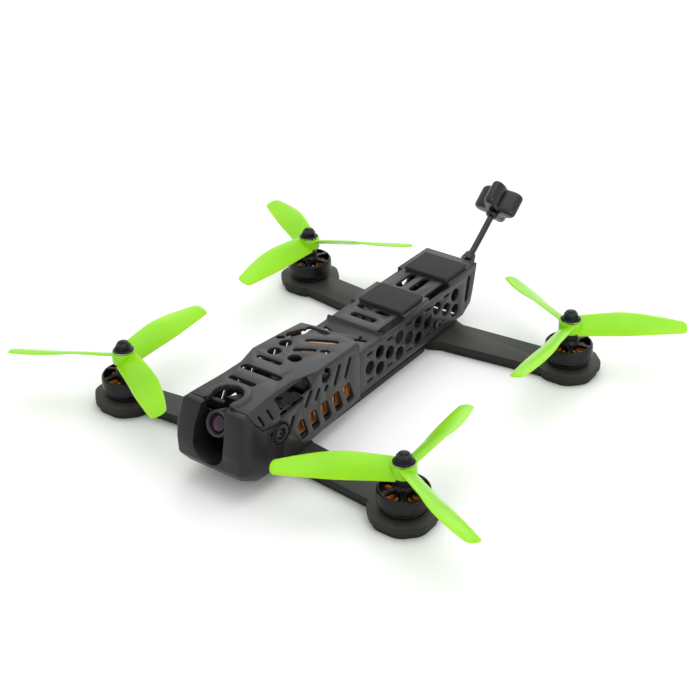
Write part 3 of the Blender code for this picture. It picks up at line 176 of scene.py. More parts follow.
def object_coordinates(mat, turn=0.0):
    """Coordinates fixed to the piece, in millimetres, turned about Z."""
    source = add_node(mat, "ShaderNodeTexCoord")
    mapping = add_node(mat, "ShaderNodeMapping", {"Scale": (1000.0, 1000.0, 1000.0),
                                                  "Rotation": (0.0, 0.0, turn),
                                                  "Location": (0.31, 0.17, 0.43)})
    connect(mat, source.outputs["Object"], mapping.inputs["Vector"])
    return mapping.outputs["Vector"]


def tint_between(mat, factor, dark, light):
    """Base colour that runs from dark to light with a factor."""
    ramp = add_node(mat, "ShaderNodeValToRGB")
    ramp.color_ramp.elements[0].color = (*dark, 1.0)
    ramp.color_ramp.elements[1].color = (*light, 1.0)
    connect(mat, factor, ramp.inputs["Fac"])
    connect(mat, ramp.outputs["Color"], shader_of(mat).inputs["Base Color"])
    return ramp


def range_between(mat, factor, low, high, socket="Roughness"):
    remap = add_node(mat, "ShaderNodeMapRange", {"To Min": low, "To Max": high})
    connect(mat, factor, remap.inputs["Value"])
    connect(mat, remap.outputs["Result"], shader_of(mat).inputs[socket])
    return remap


def bump(mat, height, distance, strength=1.0):
    node = add_node(mat, "ShaderNodeBump", {"Distance": distance, "Strength": strength})
    connect(mat, height, node.inputs["Height"])
    connect(mat, node.outputs["Normal"], shader_of(mat).inputs["Normal"])
    return node


def mixed(mat, first, second, operation="MULTIPLY"):
    node = add_node(mat, "ShaderNodeMath", operation=operation)
    for socket, value in zip(node.inputs, (first, second)):
        if isinstance(value, (int, float)):
            socket.default_value = value
        else:
            connect(mat, value, socket)
    return node.outputs["Value"]


def noise(mat, vector, scale, detail=3.0, roughness=0.5):
    node = add_node(mat, "ShaderNodeTexNoise", {"Scale": scale, "Detail": detail, "Roughness": roughness})
    connect(mat, vector, node.inputs["Vector"])
    return node.outputs["Fac"]


def twill(name, colour, roughness, tow, contrast, turn=math.pi / 4):
    """Woven composite: small squares of crossing tows, each with fine threads, under satin resin."""
    mat = new_material(name, colour, roughness, Specular_IOR_Level=0.38)
    where = object_coordinates(mat, turn)
    checks = add_node(mat, "ShaderNodeTexChecker", {"Scale": 1.0 / tow})
    connect(mat, where, checks.inputs["Vector"])
    threads = []
    for direction in ("X", "Y"):
        wave = add_node(mat, "ShaderNodeTexWave", {"Scale": 1.6 / tow, "Distortion": 0.4, "Detail": 1.0},
                        wave_type="BANDS", bands_direction=direction)
        connect(mat, where, wave.inputs["Vector"])
        threads.append(wave.outputs["Fac"])
    pick = add_node(mat, "ShaderNodeMix", data_type="FLOAT")
    connect(mat, checks.outputs["Fac"], pick.inputs["Factor"])
    connect(mat, threads[0], pick.inputs["A"])
    connect(mat, threads[1], pick.inputs["B"])
    weave = mixed(mat, mixed(mat, checks.outputs["Fac"], 0.6),
                  mixed(mat, pick.outputs["Result"], 0.4), "ADD")
    smudge = noise(mat, where, 0.05, 4.0)
    shade = mixed(mat, mixed(mat, weave, 0.6), mixed(mat, smudge, 0.4), "ADD")
    dark = [value * (1.0 - contrast) for value in colour]
    light = [value * (1.0 + contrast) for value in colour]
    tint_between(mat, shade, dark, light)
    range_between(mat, shade, roughness - 0.07, roughness + 0.1)
    bump(mat, weave, 0.02 * MM, 0.6)
    return mat


def moulded(name, colour, roughness, grain, depth, **sockets):
    """Moulded or printed plastic: fine grain, faint larger blotches and handling marks."""
    mat = new_material(name, colour, roughness, Specular_IOR_Level=0.34, **sockets)
    where = object_coordinates(mat)
    fine = noise(mat, where, grain, 5.0, 0.65)
    broad = noise(mat, where, 0.06, 3.0)
    tint_between(mat, mixed(mat, mixed(mat, fine, 0.5), mixed(mat, broad, 0.5), "ADD"),
                 [value * 0.8 for value in colour], [value * 1.22 for value in colour])
    range_between(mat, broad, roughness - 0.08, roughness + 0.1)
    bump(mat, fine, depth, 0.7)
    return mat


def turned_metal(name, colour, roughness, lines, metallic=1.0):
    """Lathe-turned metal with fine rings about the piece's own axis."""
    mat = new_material(name, colour, roughness, metallic)
    where = object_coordinates(mat)
    rings = add_node(mat, "ShaderNodeTexWave", {"Scale": lines, "Distortion": 1.2, "Detail": 2.0},
                     wave_type="RINGS", rings_direction="Z")
    connect(mat, where, rings.inputs["Vector"])
    marks = noise(mat, where, 0.5, 3.0)
    blend = mixed(mat, mixed(mat, rings.outputs["Fac"], 0.5), mixed(mat, marks, 0.5), "ADD")
    tint_between(mat, blend, [value * 0.8 for value in colour], [value * 1.2 for value in colour])
    range_between(mat, blend, roughness - 0.06, roughness + 0.12)
    bump(mat, rings.outputs["Fac"], 0.01 * MM, 0.5)
    return mat


def blade_plastic():
    """Neon green polycarbonate, lit from within where it is thin."""
    mat = new_material("blade_green", (0.25, 0.64, 0.002), 0.26, Subsurface_Weight=0.3,
                       Subsurface_Scale=0.006, Specular_IOR_Level=0.35)
    shader_of(mat).inputs["Subsurface Radius"].default_value = (0.8, 1.0, 0.2)
    where = object_coordinates(mat)
    tint_between(mat, noise(mat, where, 0.04, 2.0), (0.20, 0.56, 0.001), (0.31, 0.70, 0.003))
    bump(mat, noise(mat, where, 0.35, 2.0), 0.03 * MM, 0.4)
    return mat


def copper_wire():
    mat = new_material("copper_winding", (0.85, 0.36, 0.12), 0.3, 0.8)
    where = object_coordinates(mat)
    tint_between(mat, noise(mat, where, 0.9, 3.0), (0.72, 0.24, 0.05), (1.0, 0.50, 0.2))
    return mat


def lens_glass_and_reflection():
    """Dark violet glass; towards its rim the colour is painted lighter and bluer with the viewing angle, a
    painted reflection of the coating.
    """
    mat = new_material("lens_glass", (0.03, 0.008, 0.04), 0.08, Specular_IOR_Level=0.3,
                       Coat_Weight=0.25, Coat_Roughness=0.05)
    # painted reflection: the base colour follows the viewing angle, giving a lighter violet ring and a bluer
    # rim
    facing = add_node(mat, "ShaderNodeLayerWeight", {"Blend": 0.35})
    ramp = tint_between(mat, facing.outputs["Facing"], (0.018, 0.004, 0.022), (0.02, 0.012, 0.07))
    ramp.color_ramp.elements.new(0.45).color = (0.03, 0.006, 0.022, 1.0)
    return mat


def solder_mask(name, colour):
    """Circuit board: dark lacquer over a maze of tracks, with pale pads."""
    mat = new_material(name, colour, 0.35)
    where = object_coordinates(mat)
    tracks = add_node(mat, "ShaderNodeTexVoronoi", {"Scale": 0.45}, distance="MANHATTAN", feature="F1")
    connect(mat, where, tracks.inputs["Vector"])
    ramp = tint_between(mat, tracks.outputs["Distance"], (0.35, 0.36, 0.38), colour)
    ramp.color_ramp.elements[0].position = 0.18
    ramp.color_ramp.elements[1].position = 0.24
    bump(mat, tracks.outputs["Distance"], 0.05 * MM, 0.5)
    return mat


def film(name, dark, light):
    """Thin glossy wrapping film with creases."""
    mat = new_material(name, light, 0.25, Coat_Weight=0.5, Coat_Roughness=0.1)
    where = object_coordinates(mat)
    creases = noise(mat, where, 0.3, 4.0)
    tint_between(mat, creases, dark, light)
    bump(mat, creases, 0.15 * MM, 0.5)
    return mat


MATERIALS = {
    "arm": twill("carbon_arm", (0.030, 0.031, 0.025), 0.52, 1.6, 0.22),
    "arm_edge": moulded("carbon_edge", (0.010, 0.010, 0.009), 0.6, 3.0, 0.03 * MM),
    "plate": twill("carbon_plate", (0.018, 0.018, 0.017), 0.5, 1.6, 0.25),
    "shell": twill("twill_shell", (0.020, 0.020, 0.020), 0.38, 1.9, 0.45),
    "nose": moulded("nose_plastic", (0.007, 0.007, 0.008), 0.42, 2.2, 0.03 * MM),
    "blade": blade_plastic(),
    "bell": turned_metal("anodised_bell", (0.022, 0.021, 0.022), 0.34, 1.4, 0.85),
    # painted highlight: silver metal laid on the rims of the dark nut flanges and bell lips where light
    # glints
    "bright": turned_metal("bright_metal", (0.60, 0.60, 0.62), 0.24, 2.0),
    "steel": turned_metal("plain_steel", (0.30, 0.30, 0.32), 0.3, 2.0),
    "nut": turned_metal("black_steel", (0.012, 0.012, 0.015), 0.3, 2.0, 0.8),
    "collar": moulded("nylon_insert", (0.012, 0.012, 0.014), 0.28, 1.0, 0.01 * MM),
    "copper": copper_wire(),
    "lamination": moulded("lamination", (0.02, 0.018, 0.016), 0.4, 2.0, 0.02 * MM),
    "rubber": moulded("deck_rubber", (0.022, 0.022, 0.024), 0.75, 3.0, 0.05 * MM),
    "glass": lens_glass_and_reflection(),
    "camera": moulded("camera_plastic", (0.008, 0.008, 0.009), 0.42, 2.0, 0.02 * MM),
    "lens_ring": turned_metal("lens_ring", (0.040, 0.036, 0.042), 0.45, 2.0, 0.4),
    "board": solder_mask("circuit_board", (0.003, 0.004, 0.007)),
    "chip": moulded("chip_case", (0.006, 0.006, 0.007), 0.35, 1.5, 0.01 * MM),
    "casing": moulded("module_casing", (0.010, 0.010, 0.012), 0.4, 1.5, 0.02 * MM),
    "dark_screw": turned_metal("black_screw", (0.05, 0.05, 0.052), 0.34, 2.0, 0.8),
    "tape": film("amber_tape", (0.85, 0.30, 0.01), (1.0, 0.48, 0.03)),
    "antenna": moulded("antenna_plastic", (0.008, 0.008, 0.010), 0.3, 0.8, 0.02 * MM, Coat_Weight=0.2,
                       Coat_Roughness=0.15),
    "cable": moulded("antenna_cable", (0.010, 0.010, 0.012), 0.25, 0.8, 0.01 * MM, Coat_Weight=0.3),
}


# ---------------------------------------------------------------- mesh helpers
def scene_object(name, mesh):
    obj = bpy.data.objects.new(name, mesh)
    bpy.context.scene.collection.objects.link(obj)
    return obj


def solid(name, bm):
    bmesh.ops.recalc_face_normals(bm, faces=bm.faces)
    mesh = bpy.data.meshes.new(name)
    bm.to_mesh(mesh)
    bm.free()
    return scene_object(name, mesh)


def apply_modifiers(obj):
    bpy.context.view_layer.update()
    depsgraph = bpy.context.evaluated_depsgraph_get()
    mesh = bpy.data.meshes.new_from_object(obj.evaluated_get(depsgraph))
    obj.modifiers.clear()
    obj.data = mesh
    return obj


def combine(obj, others, operation):
    for other in others:
        mod = obj.modifiers.new(operation.lower(), "BOOLEAN")
        mod.operation = operation
        mod.object = other
        mod.solver = "EXACT"
    apply_modifiers(obj)
    for other in others:
        bpy.data.objects.remove(other, do_unlink=True)
    return obj


def cut(obj, *cutters):
    return combine(obj, cutters, "DIFFERENCE")


def fuse(obj, *others):
    return combine(obj, others, "UNION")


def merge_flat(obj, angle=0.4):
    """Join neighbouring faces that lie in one plane."""
    bm = bmesh.new()
    bm.from_mesh(obj.data)
    bmesh.ops.remove_doubles(bm, verts=bm.verts, dist=0.004 * MM)
    bmesh.ops.dissolve_limit(bm, angle_limit=math.radians(angle), verts=bm.verts, edges=bm.edges)
    bm.to_mesh(obj.data)
    bm.free()
    return obj


def soften(obj, width, segments=2, angle=30.0, clamp=True):
    """Round the edges that are sharper than the angle."""
    mod = obj.modifiers.new("edges", "BEVEL")
    mod.width = width
    mod.segments = segments
    mod.limit_method = "ANGLE"
    mod.angle_limit = math.radians(angle)
    mod.use_clamp_overlap = clamp
    return apply_modifiers(obj)


def shade(obj, angle=35.0):
    obj.data.shade_smooth()
    obj.data.set_sharp_from_angle(angle=math.radians(angle))
    return obj


def finish_piece(obj, material, body, replaces=(), shading=35.0):
    """Give a piece its material and its body. The CAD nodes that it stands for are hidden."""
    if not obj.data.materials:
        obj.data.materials.append(MATERIALS[material])
    elif obj.data.materials[0] is None:
        obj.data.materials[0] = MATERIALS[material]
    if shading:
        shade(obj, shading)
    if replaces:
        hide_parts(*replaces)
    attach(obj, body)
    return obj


def box(name, size, centre, rotation=None):
    bm = bmesh.new()
    bmesh.ops.create_cube(bm, size=1.0)
    bmesh.ops.scale(bm, vec=Vector(size), verts=bm.verts)
    if rotation:
        bmesh.ops.rotate(bm, matrix=rotation, verts=bm.verts)
    bmesh.ops.translate(bm, vec=Vector(centre), verts=bm.verts)
    return solid(name, bm)


def cylinder(name, radius, depth, centre, axis="Z", segments=48, far_radius=None):
    bm = bmesh.new()
    far = radius if far_radius is None else far_radius
    bmesh.ops.create_cone(bm, cap_ends=True, segments=segments, radius1=radius, radius2=far, depth=depth)
    turn = {
        "X": Matrix.Rotation(math.pi / 2, 4, "Y"),
        "Y": Matrix.Rotation(-math.pi / 2, 4, "X"),
        "Z": Matrix.Identity(4),
    }[axis]
    bmesh.ops.transform(bm, matrix=Matrix.Translation(centre) @ turn, verts=bm.verts)
    return solid(name, bm)


def prism(name, outline, low, high, axis="Z"):
    """A flat outline extruded along an axis: Z takes (x, y), X takes (y, z), Y takes (x, z)."""
    def point(a, b, c):
        return {"Z": (a, b, c), "X": (c, a, b), "Y": (a, c, b)}[axis]

    bm = bmesh.new()
    face = bm.faces.new([bm.verts.new(point(a, b, low)) for a, b in outline])
    extruded = bmesh.ops.extrude_face_region(bm, geom=[face])
    moved = [item for item in extruded["geom"] if isinstance(item, bmesh.types.BMVert)]
    bmesh.ops.translate(bm, vec=Vector(point(0, 0, high - low)), verts=moved)
    return solid(name, bm)


def rounded(points, radius, steps=6):
    """Round the corners of a closed outline with arcs tangent to both sides."""
    result = []
    count = len(points)
    for index in range(count):
        corner = Vector(points[index])
        back = Vector(points[index - 1]) - corner
        ahead = Vector(points[(index + 1) % count]) - corner
        reach = min(radius / math.tan(back.angle(ahead) / 2), 0.45 * back.length, 0.45 * ahead.length)
        start = corner + back.normalized() * reach
        end = corner + ahead.normalized() * reach
        for step in range(steps + 1):
            t = step / steps
            result.append(tuple((1 - t) ** 2 * start + 2 * t * (1 - t) * corner + t ** 2 * end))
    return result


def capsule(start, end, radius, steps=8):
    """Outline of a slot with round ends between two points."""
    start, end = Vector(start), Vector(end)
    heading = math.atan2(end.y - start.y, end.x - start.x)
    points = []
    for centre, first in ((end, heading - math.pi / 2), (start, heading + math.pi / 2)):
        for step in range(steps + 1):
            angle = first + math.pi * step / steps
            points.append((centre.x + radius * math.cos(angle), centre.y + radius * math.sin(angle)))
    return points


def disc(centre, radius, steps=32, start=0.5):
    return [(centre[0] + radius * math.cos(2 * math.pi * (k + start) / steps),
             centre[1] + radius * math.sin(2 * math.pi * (k + start) / steps)) for k in range(steps)]


def lathe(name, profile, steps=64, closed=True):
    """Turn a (radius, z) outline about Z."""
    bm = bmesh.new()
    verts = [bm.verts.new((radius, 0, z)) for radius, z in profile]
    pairs = list(zip(verts, verts[1:]))
    if closed:
        pairs.append((verts[-1], verts[0]))
    edges = [bm.edges.new(pair) for pair in pairs]
    bmesh.ops.spin(bm, geom=verts + edges, cent=(0, 0, 0), axis=(0, 0, 1), angle=2 * math.pi,
                   steps=steps, use_merge=True)
    bmesh.ops.remove_doubles(bm, verts=bm.verts, dist=0.002 * MM)
    return solid(name, bm)


def loft(name, sections, closed=False):
    """Skin a run of equal-length point lists; closed joins each list into a ring and caps both ends."""
    bm = bmesh.new()
    rows = [[bm.verts.new(point) for point in section] for section in sections]
    count = len(rows[0])
    for row, following in zip(rows, rows[1:]):
        for k in range(count if closed else count - 1):
            after = (k + 1) % count
            bm.faces.new((row[k], row[after], following[after], following[k]))
    if closed:
        bm.faces.new(rows[0])
        bm.faces.new(list(reversed(rows[-1])))
    return solid(name, bm)


def convex(name, points):
    bm = bmesh.new()
    for point in points:
        bm.verts.new(point)
    bmesh.ops.convex_hull(bm, input=bm.verts)
    bmesh.ops.dissolve_limit(bm, angle_limit=math.radians(1), verts=bm.verts, edges=bm.edges)
    return solid(name, bm)


def mirrored(points):
    """Both sides of a list of points on the +X side."""
    return points + [(-x, y, z) for x, y, z in points]


def paint(obj, materials, choose):
    """Give each face one of several materials: choose(face) returns its place in the list."""
    obj.data.materials.clear()
    for name in materials:
        obj.data.materials.append(MATERIALS[name])
    for polygon in obj.data.polygons:
        polygon.material_index = choose(polygon)
    return obj


def moved(obj, matrix):
    obj.data.transform(matrix)
    return obj


# ---------------------------------------------------------------- arms and plates
def motor_pad(centre, radius):
    """Rounded octagon around a motor axis, its flats square to the booms."""
    flat = radius * 0.45
    corners = [(radius, -flat), (radius, flat), (flat, radius), (-flat, radius),
               (-radius, flat), (-radius, -flat), (-flat, -radius), (flat, -radius)]
    return [(centre[0] + x, centre[1] + y) for x, y in rounded(corners, PAD_ROUNDING, 6)]


def arm_plate(node, end, sweep, root_y, width, gusset, inset, low, high):
    """One plate of an arm pair: a boom across the aircraft with a pad at each end."""
    motors = [MOTORS[end + "_left"], MOTORS[end + "_right"]]
    motor_y = motors[0].y
    half = width / 2 - inset
    root = 17.5 * MM
    tip = motors[0].x - PAD_RADIUS * 0.55
    end_y = motor_y - math.copysign(sweep, motor_y)
    side = [
        (root - 4 * MM, root_y - half - gusset), (root + gusset, root_y - half),
        (tip, end_y - half + ARM_TAPER), (tip, end_y + half - ARM_TAPER),
        (root + gusset, root_y + half), (root - 4 * MM, root_y + half + gusset),
    ]
    arm = prism(node + "_looks", side + [(-x, y) for x, y in reversed(side)], low, high)
    fuse(arm, *[prism("pad", motor_pad(centre, PAD_RADIUS - inset), low, high) for centre in motors])
    drills = []
    for centre in motors:
        drills.append(prism("drill", disc(centre, SHAFT_RADIUS + MM), low - MM, high + MM))
        for quarter in range(4):
            angle = math.radians(45 + 90 * quarter)
            spot = (centre.x + MOTOR_BOLT_CIRCLE * math.cos(angle),
                    centre.y + MOTOR_BOLT_CIRCLE * math.sin(angle))
            drills.append(prism("drill", disc(spot, 1.6 * MM, 20), low - MM, high + MM))
    cut(arm, *drills)
    merge_flat(arm)
    soften(arm, 0.35 * MM, 2, 40)
    paint(arm, ("arm", "arm_edge"), lambda face: 0 if abs(face.normal.z) > 0.5 else 1)
    finish_piece(arm, "arm", AIRFRAME, [node])


def arms():
    rows = (("front", (FRONT_ARM_SWEEP, FRONT_ARM_ROOT_Y, FRONT_ARM_WIDTH, FRONT_GUSSET)),
            ("rear", (REAR_ARM_SWEEP, REAR_ARM_ROOT_Y, REAR_ARM_WIDTH, REAR_GUSSET)))
    for end, sizes in rows:
        arm_plate(end + "_arm_lower", end, *sizes, ARM_INSET, 0.0, ARM_SPLIT)
        arm_plate(end + "_arm_upper", end, *sizes, 0.0, ARM_SPLIT + GAP, ARM_TOP)


# ---------------------------------------------------------------- motors
def motor_base(corner, centre):
    low = ARM_TOP + GAP
    tube_top = BELL_TOP - 3.2 * MM
    bore = SHAFT_RADIUS + 0.1 * MM
    obj = lathe("motor_base_looks_" + corner, [
        (bore, low), (11.2 * MM, low), (11.4 * MM, low + 0.2 * MM), (11.4 * MM, low + 1.1 * MM),
        (11.1 * MM, low + 1.4 * MM), (10.2 * MM, low + 2.2 * MM), (3.4 * MM, low + 2.2 * MM),
        (3.4 * MM, tube_top), (bore, tube_top)])
    obj.location = centre
    finish_piece(obj, "bell", AIRFRAME, ["motor_base_" + corner])


def coil(angle, inner, outer, low, high):
    """One tooth's winding: a radial loaf with a ridge for every turn of wire."""
    sections = []
    turns = 9
    steps = turns * 4
    middle = (low + high) / 2
    for k in range(steps + 1):
        share = k / steps
        radius = inner + (outer - inner) * share
        ridge = 1.0 + 0.07 * math.cos(2 * math.pi * turns * share)
        wide = (0.75 + 0.75 * share) * MM * ridge
        tall = (high - low) / 2 * ridge
        ring = []
        for j in range(16):
            around = 2 * math.pi * j / 16
            across = wide * math.copysign(abs(math.cos(around)) ** 0.7, math.cos(around))
            rise = tall * math.copysign(abs(math.sin(around)) ** 0.7, math.sin(around))
            ring.append((radius * math.cos(angle) - across * math.sin(angle),
                         radius * math.sin(angle) + across * math.cos(angle), middle + rise))
        sections.append(ring)
    return loft("coil", sections, closed=True)


def joined_pieces(name, pieces):
    joined = bmesh.new()
    for obj in pieces:
        joined.from_mesh(obj.data)
        bpy.data.objects.remove(obj, do_unlink=True)
    return solid(name, joined)


def stator(corner, centre):
    """Copper windings on every tooth of a stack of laminations."""
    low = ARM_TOP + 3.1 * MM
    high = low + 5.6 * MM
    outer = BELL_RADIUS - BELL_WALL - 0.6 * MM
    outline = []
    for k in range(STATOR_TEETH):
        for share, radius in ((0.06, outer), (0.30, outer), (0.50, outer), (0.70, outer), (0.94, outer),
                              (0.94, outer - 0.9 * MM), (0.06 + 1.0, outer - 0.9 * MM)):
            angle = 2 * math.pi * (k + share - 0.5) / STATOR_TEETH
            outline.append((radius * math.cos(angle), radius * math.sin(angle)))
    shoes = prism("stator_looks_" + corner, outline, low + 0.8 * MM, high - 0.8 * MM)
    cut(shoes, prism("middle", disc((0, 0), outer - 1.7 * MM, 48), low - MM, high + MM))
    core = lathe("core", [(3.8 * MM, low + 0.8 * MM), (5.2 * MM, low + 0.8 * MM),
                          (5.2 * MM, high - 0.8 * MM), (3.8 * MM, high - 0.8 * MM)])
    pieces = [shoes, core]
    for k in range(STATOR_TEETH):
        pieces.append(coil(2 * math.pi * k / STATOR_TEETH, 5.3 * MM, outer - 1.7 * MM, low, high))
    joined = bmesh.new()
    for number, obj in enumerate(pieces):
        before = len(joined.faces)
        joined.from_mesh(obj.data)
        joined.faces.ensure_lookup_table()
        for face in joined.faces[before:]:
            face.material_index = 0 if number < 2 else 1
    mesh = bpy.data.meshes.new("stator_looks_" + corner)
    joined.to_mesh(mesh)
    joined.free()
    for obj in pieces:
        bpy.data.objects.remove(obj, do_unlink=True)
    mesh.materials.append(MATERIALS["lamination"])
    mesh.materials.append(MATERIALS["copper"])
    obj = scene_object("stator_looks_" + corner, mesh)
    obj.location = centre
    finish_piece(obj, "copper", AIRFRAME, ["stator_" + corner], 50)


def bell(corner, centre):
    """Rotor can: a ring whose lower lip is silver metal as a painted highlight, six raked spokes and a hub
    under the propeller.
    """
    inner = BELL_RADIUS - BELL_WALL
    hub_top = PROP_HUB_TOP - PROP_HUB_HEIGHT - GAP
    hub_low = BELL_TOP - 1.6 * MM
    bore = SHAFT_RADIUS + 0.05 * MM
    ring = lathe("bell_looks_" + corner, [
        (inner, BELL_BOTTOM), (BELL_RADIUS - 0.35 * MM, BELL_BOTTOM),
        (BELL_RADIUS - 0.05 * MM, BELL_BOTTOM + 0.3 * MM), (BELL_RADIUS - 0.05 * MM, BELL_BOTTOM + 0.7 * MM),
        (BELL_RADIUS - 0.3 * MM, BELL_BOTTOM + 0.85 * MM), (BELL_RADIUS - 0.3 * MM, BELL_BOTTOM + 1.1 * MM),
        (BELL_RADIUS, BELL_BOTTOM + 1.4 * MM), (BELL_RADIUS, BELL_TOP - 2.3 * MM),
        (BELL_RADIUS - 0.15 * MM, BELL_TOP - 2.0 * MM), (BELL_RADIUS - 0.15 * MM, BELL_TOP - 0.9 * MM),
        (BELL_RADIUS - 0.9 * MM, BELL_TOP), (inner, BELL_TOP)], 96)
    hub = lathe("hub", [
        (bore, hub_low), (BELL_HUB_RADIUS + 1.4 * MM, hub_low),
        (BELL_HUB_RADIUS + 0.8 * MM, BELL_TOP + 1.4 * MM),
        (BELL_HUB_RADIUS + 0.1 * MM, BELL_TOP + 2.4 * MM), (BELL_HUB_RADIUS, hub_top - 0.5 * MM),
        (BELL_HUB_RADIUS - 0.5 * MM, hub_top), (bore, hub_top)], 48)
    spokes = []
    for k in range(SPOKE_COUNT):
        spokes.append(spoke(2 * math.pi * k / SPOKE_COUNT, hub_low))
    fuse(ring, hub, *spokes)
    merge_flat(ring)
    soften(ring, 0.2 * MM, 2, 45)
    # the chamfer under the lower lip gets silver metal: a painted highlight on the dark bell
    paint(ring, ("bell", "bright"),
          lambda face: 1 if face.center.z < BELL_BOTTOM + 0.32 * MM and face.normal.z < 0.9
          and Vector(face.center[:2]).length > BELL_RADIUS - 0.4 * MM else 0)
    ring.location = centre
    finish_piece(ring, "bell", "rotor_" + corner, ["bell_" + corner], 32)


def spoke(angle, hub_low):
    """A raked bar from the hub to the ring, wider at its ends."""
    sections = []
    start, end = BELL_HUB_RADIUS + 0.4 * MM, BELL_RADIUS - BELL_WALL / 2
    for k in range(7):
        share = k / 6
        radius = start + (end - start) * share
        wide = (1.0 + 0.9 * (2 * share - 1) ** 2) * MM
        low = hub_low + 0.3 * MM + (BELL_TOP - 1.5 * MM - hub_low - 0.3 * MM) * share
        high = BELL_TOP + 1.0 * MM - 1.2 * MM * share
        swept = angle + 0.16 * share
        corner = [(-wide, low), (wide, low), (wide, high - 0.3 * MM), (wide - 0.3 * MM, high),
                  (-wide + 0.3 * MM, high), (-wide, high - 0.3 * MM)]
        sections.append([(radius * math.cos(swept) - across * math.sin(swept),
                          radius * math.sin(swept) + across * math.cos(swept), z) for across, z in corner])
    return loft("spoke", sections, closed=True)


def shaft(corner, centre):
    low = ARM_TOP + 0.6 * MM
    high = PROP_HUB_TOP + NUT_HEIGHT + 0.2 * MM
    tip = [(SHAFT_RADIUS * math.cos(math.radians(a)), high - 0.9 * MM + 0.9 * MM * math.sin(math.radians(a)))
           for a in (0, 20, 40, 60, 75)]
    obj = lathe("shaft_looks_" + corner, [
        (0, low), (SHAFT_RADIUS - 0.4 * MM, low), (SHAFT_RADIUS, low + 0.4 * MM), *tip, (0, high)], 40,
        closed=False)
    paint(obj, ("steel", "nut"), lambda face: 1 if face.center.z > PROP_HUB_TOP + MM else 0)
    obj.location = centre
    finish_piece(obj, "steel", "rotor_" + corner, ["shaft_" + corner])


def nut(corner, centre):
    """Flanged lock nut: a serrated flange whose rim is silver metal as a painted highlight, a chamfered
    hexagon and a nylon collar.
    """
    low = PROP_HUB_TOP + GAP
    bore = SHAFT_RADIUS + 0.05 * MM
    flange = lathe("nut_looks_" + corner, [
        (bore, low), (5.4 * MM, low), (5.6 * MM, low + 0.2 * MM), (5.6 * MM, low + 0.6 * MM),
        (5.3 * MM, low + 0.85 * MM), (4.1 * MM, low + 1.5 * MM), (bore, low + 1.5 * MM)], 72)
    hexagon = prism("hexagon", disc((0, 0), 4.4 * MM, 6, 0.0), low + 1.0 * MM, low + 3.6 * MM)
    combine(hexagon, [lathe("chamfer", [(0, low), (5.0 * MM, low), (5.0 * MM, low + 2.6 * MM),
                                        (3.6 * MM, low + 3.6 * MM), (0, low + 3.6 * MM)], 72, closed=False)],
            "INTERSECT")
    high = low + NUT_HEIGHT
    collar = lathe("collar", [
        (bore, low + 3.3 * MM), (3.4 * MM, low + 3.3 * MM), (3.35 * MM, low + 3.7 * MM),
        (3.15 * MM, high - 1.1 * MM), (2.9 * MM, high - 0.8 * MM), (bore, high - 0.8 * MM)], 48)
    cut(hexagon, cylinder("bore", bore, 20 * MM, (0, 0, low), segments=48))
    fuse(flange, hexagon, collar)
    merge_flat(flange)
    soften(flange, 0.15 * MM, 2, 40)

    def choose(face):
        outwards = Vector(face.center[:2]).length
        # the flange rim gets silver metal: a painted highlight on the dark flange
        if face.center.z < low + 0.9 * MM and outwards > 5.5 * MM:
            return 1
        return 2 if face.center.z > high - 2.2 * MM else 0

    paint(flange, ("nut", "bright", "collar"), choose)
    flange.location = centre
    finish_piece(flange, "nut", "rotor_" + corner, ["nut_" + corner], 30)


# ---------------------------------------------------------------- propellers
def blade_section(radius, heading, spin, ring=28, squeeze=1.0):
    """Closed ring of points around the blade at one radius; the leading edge is the higher one."""
    t = (radius - PROP_HUB_RADIUS) / (PROP_RADIUS - PROP_HUB_RADIUS)
    chord = (13.2 + 2.2 * math.sin(math.pi * min(t / 0.62, 1.0) * 0.5)) * MM
    if t > 0.45:
        chord = chord + (8.6 * MM - chord) * ((t - 0.45) / 0.55) ** 1.6
    chord *= squeeze
    twist = math.atan(PROP_PITCH / (2 * math.pi * max(radius, 27 * MM)))
    thick = 1.7 * MM * (1.0 - 0.45 * t) * squeeze
    sweep = 1.5 * MM * math.sin(math.pi * t)
    height = PROP_HUB_TOP - 0.52 * PROP_HUB_HEIGHT
    camber = 0.05 * chord
    points = []
    for k in range(ring):
        around = 2 * math.pi * k / ring
        u = 0.5 * math.cos(around)
        v = 0.55 * math.copysign(abs(math.sin(around)) ** 0.85, math.sin(around)) * (1.0 + 0.35 * u)
        along = u * chord + sweep
        lift = v * thick + camber * (1 - (2 * u) ** 2)
        side = along * math.cos(twist) - lift * math.sin(twist)
        rise = along * math.sin(twist) + lift * math.cos(twist)
        points.append((radius * math.cos(heading) - spin * side * math.sin(heading),
                       radius * math.sin(heading) + spin * side * math.cos(heading), height + rise))
    return points


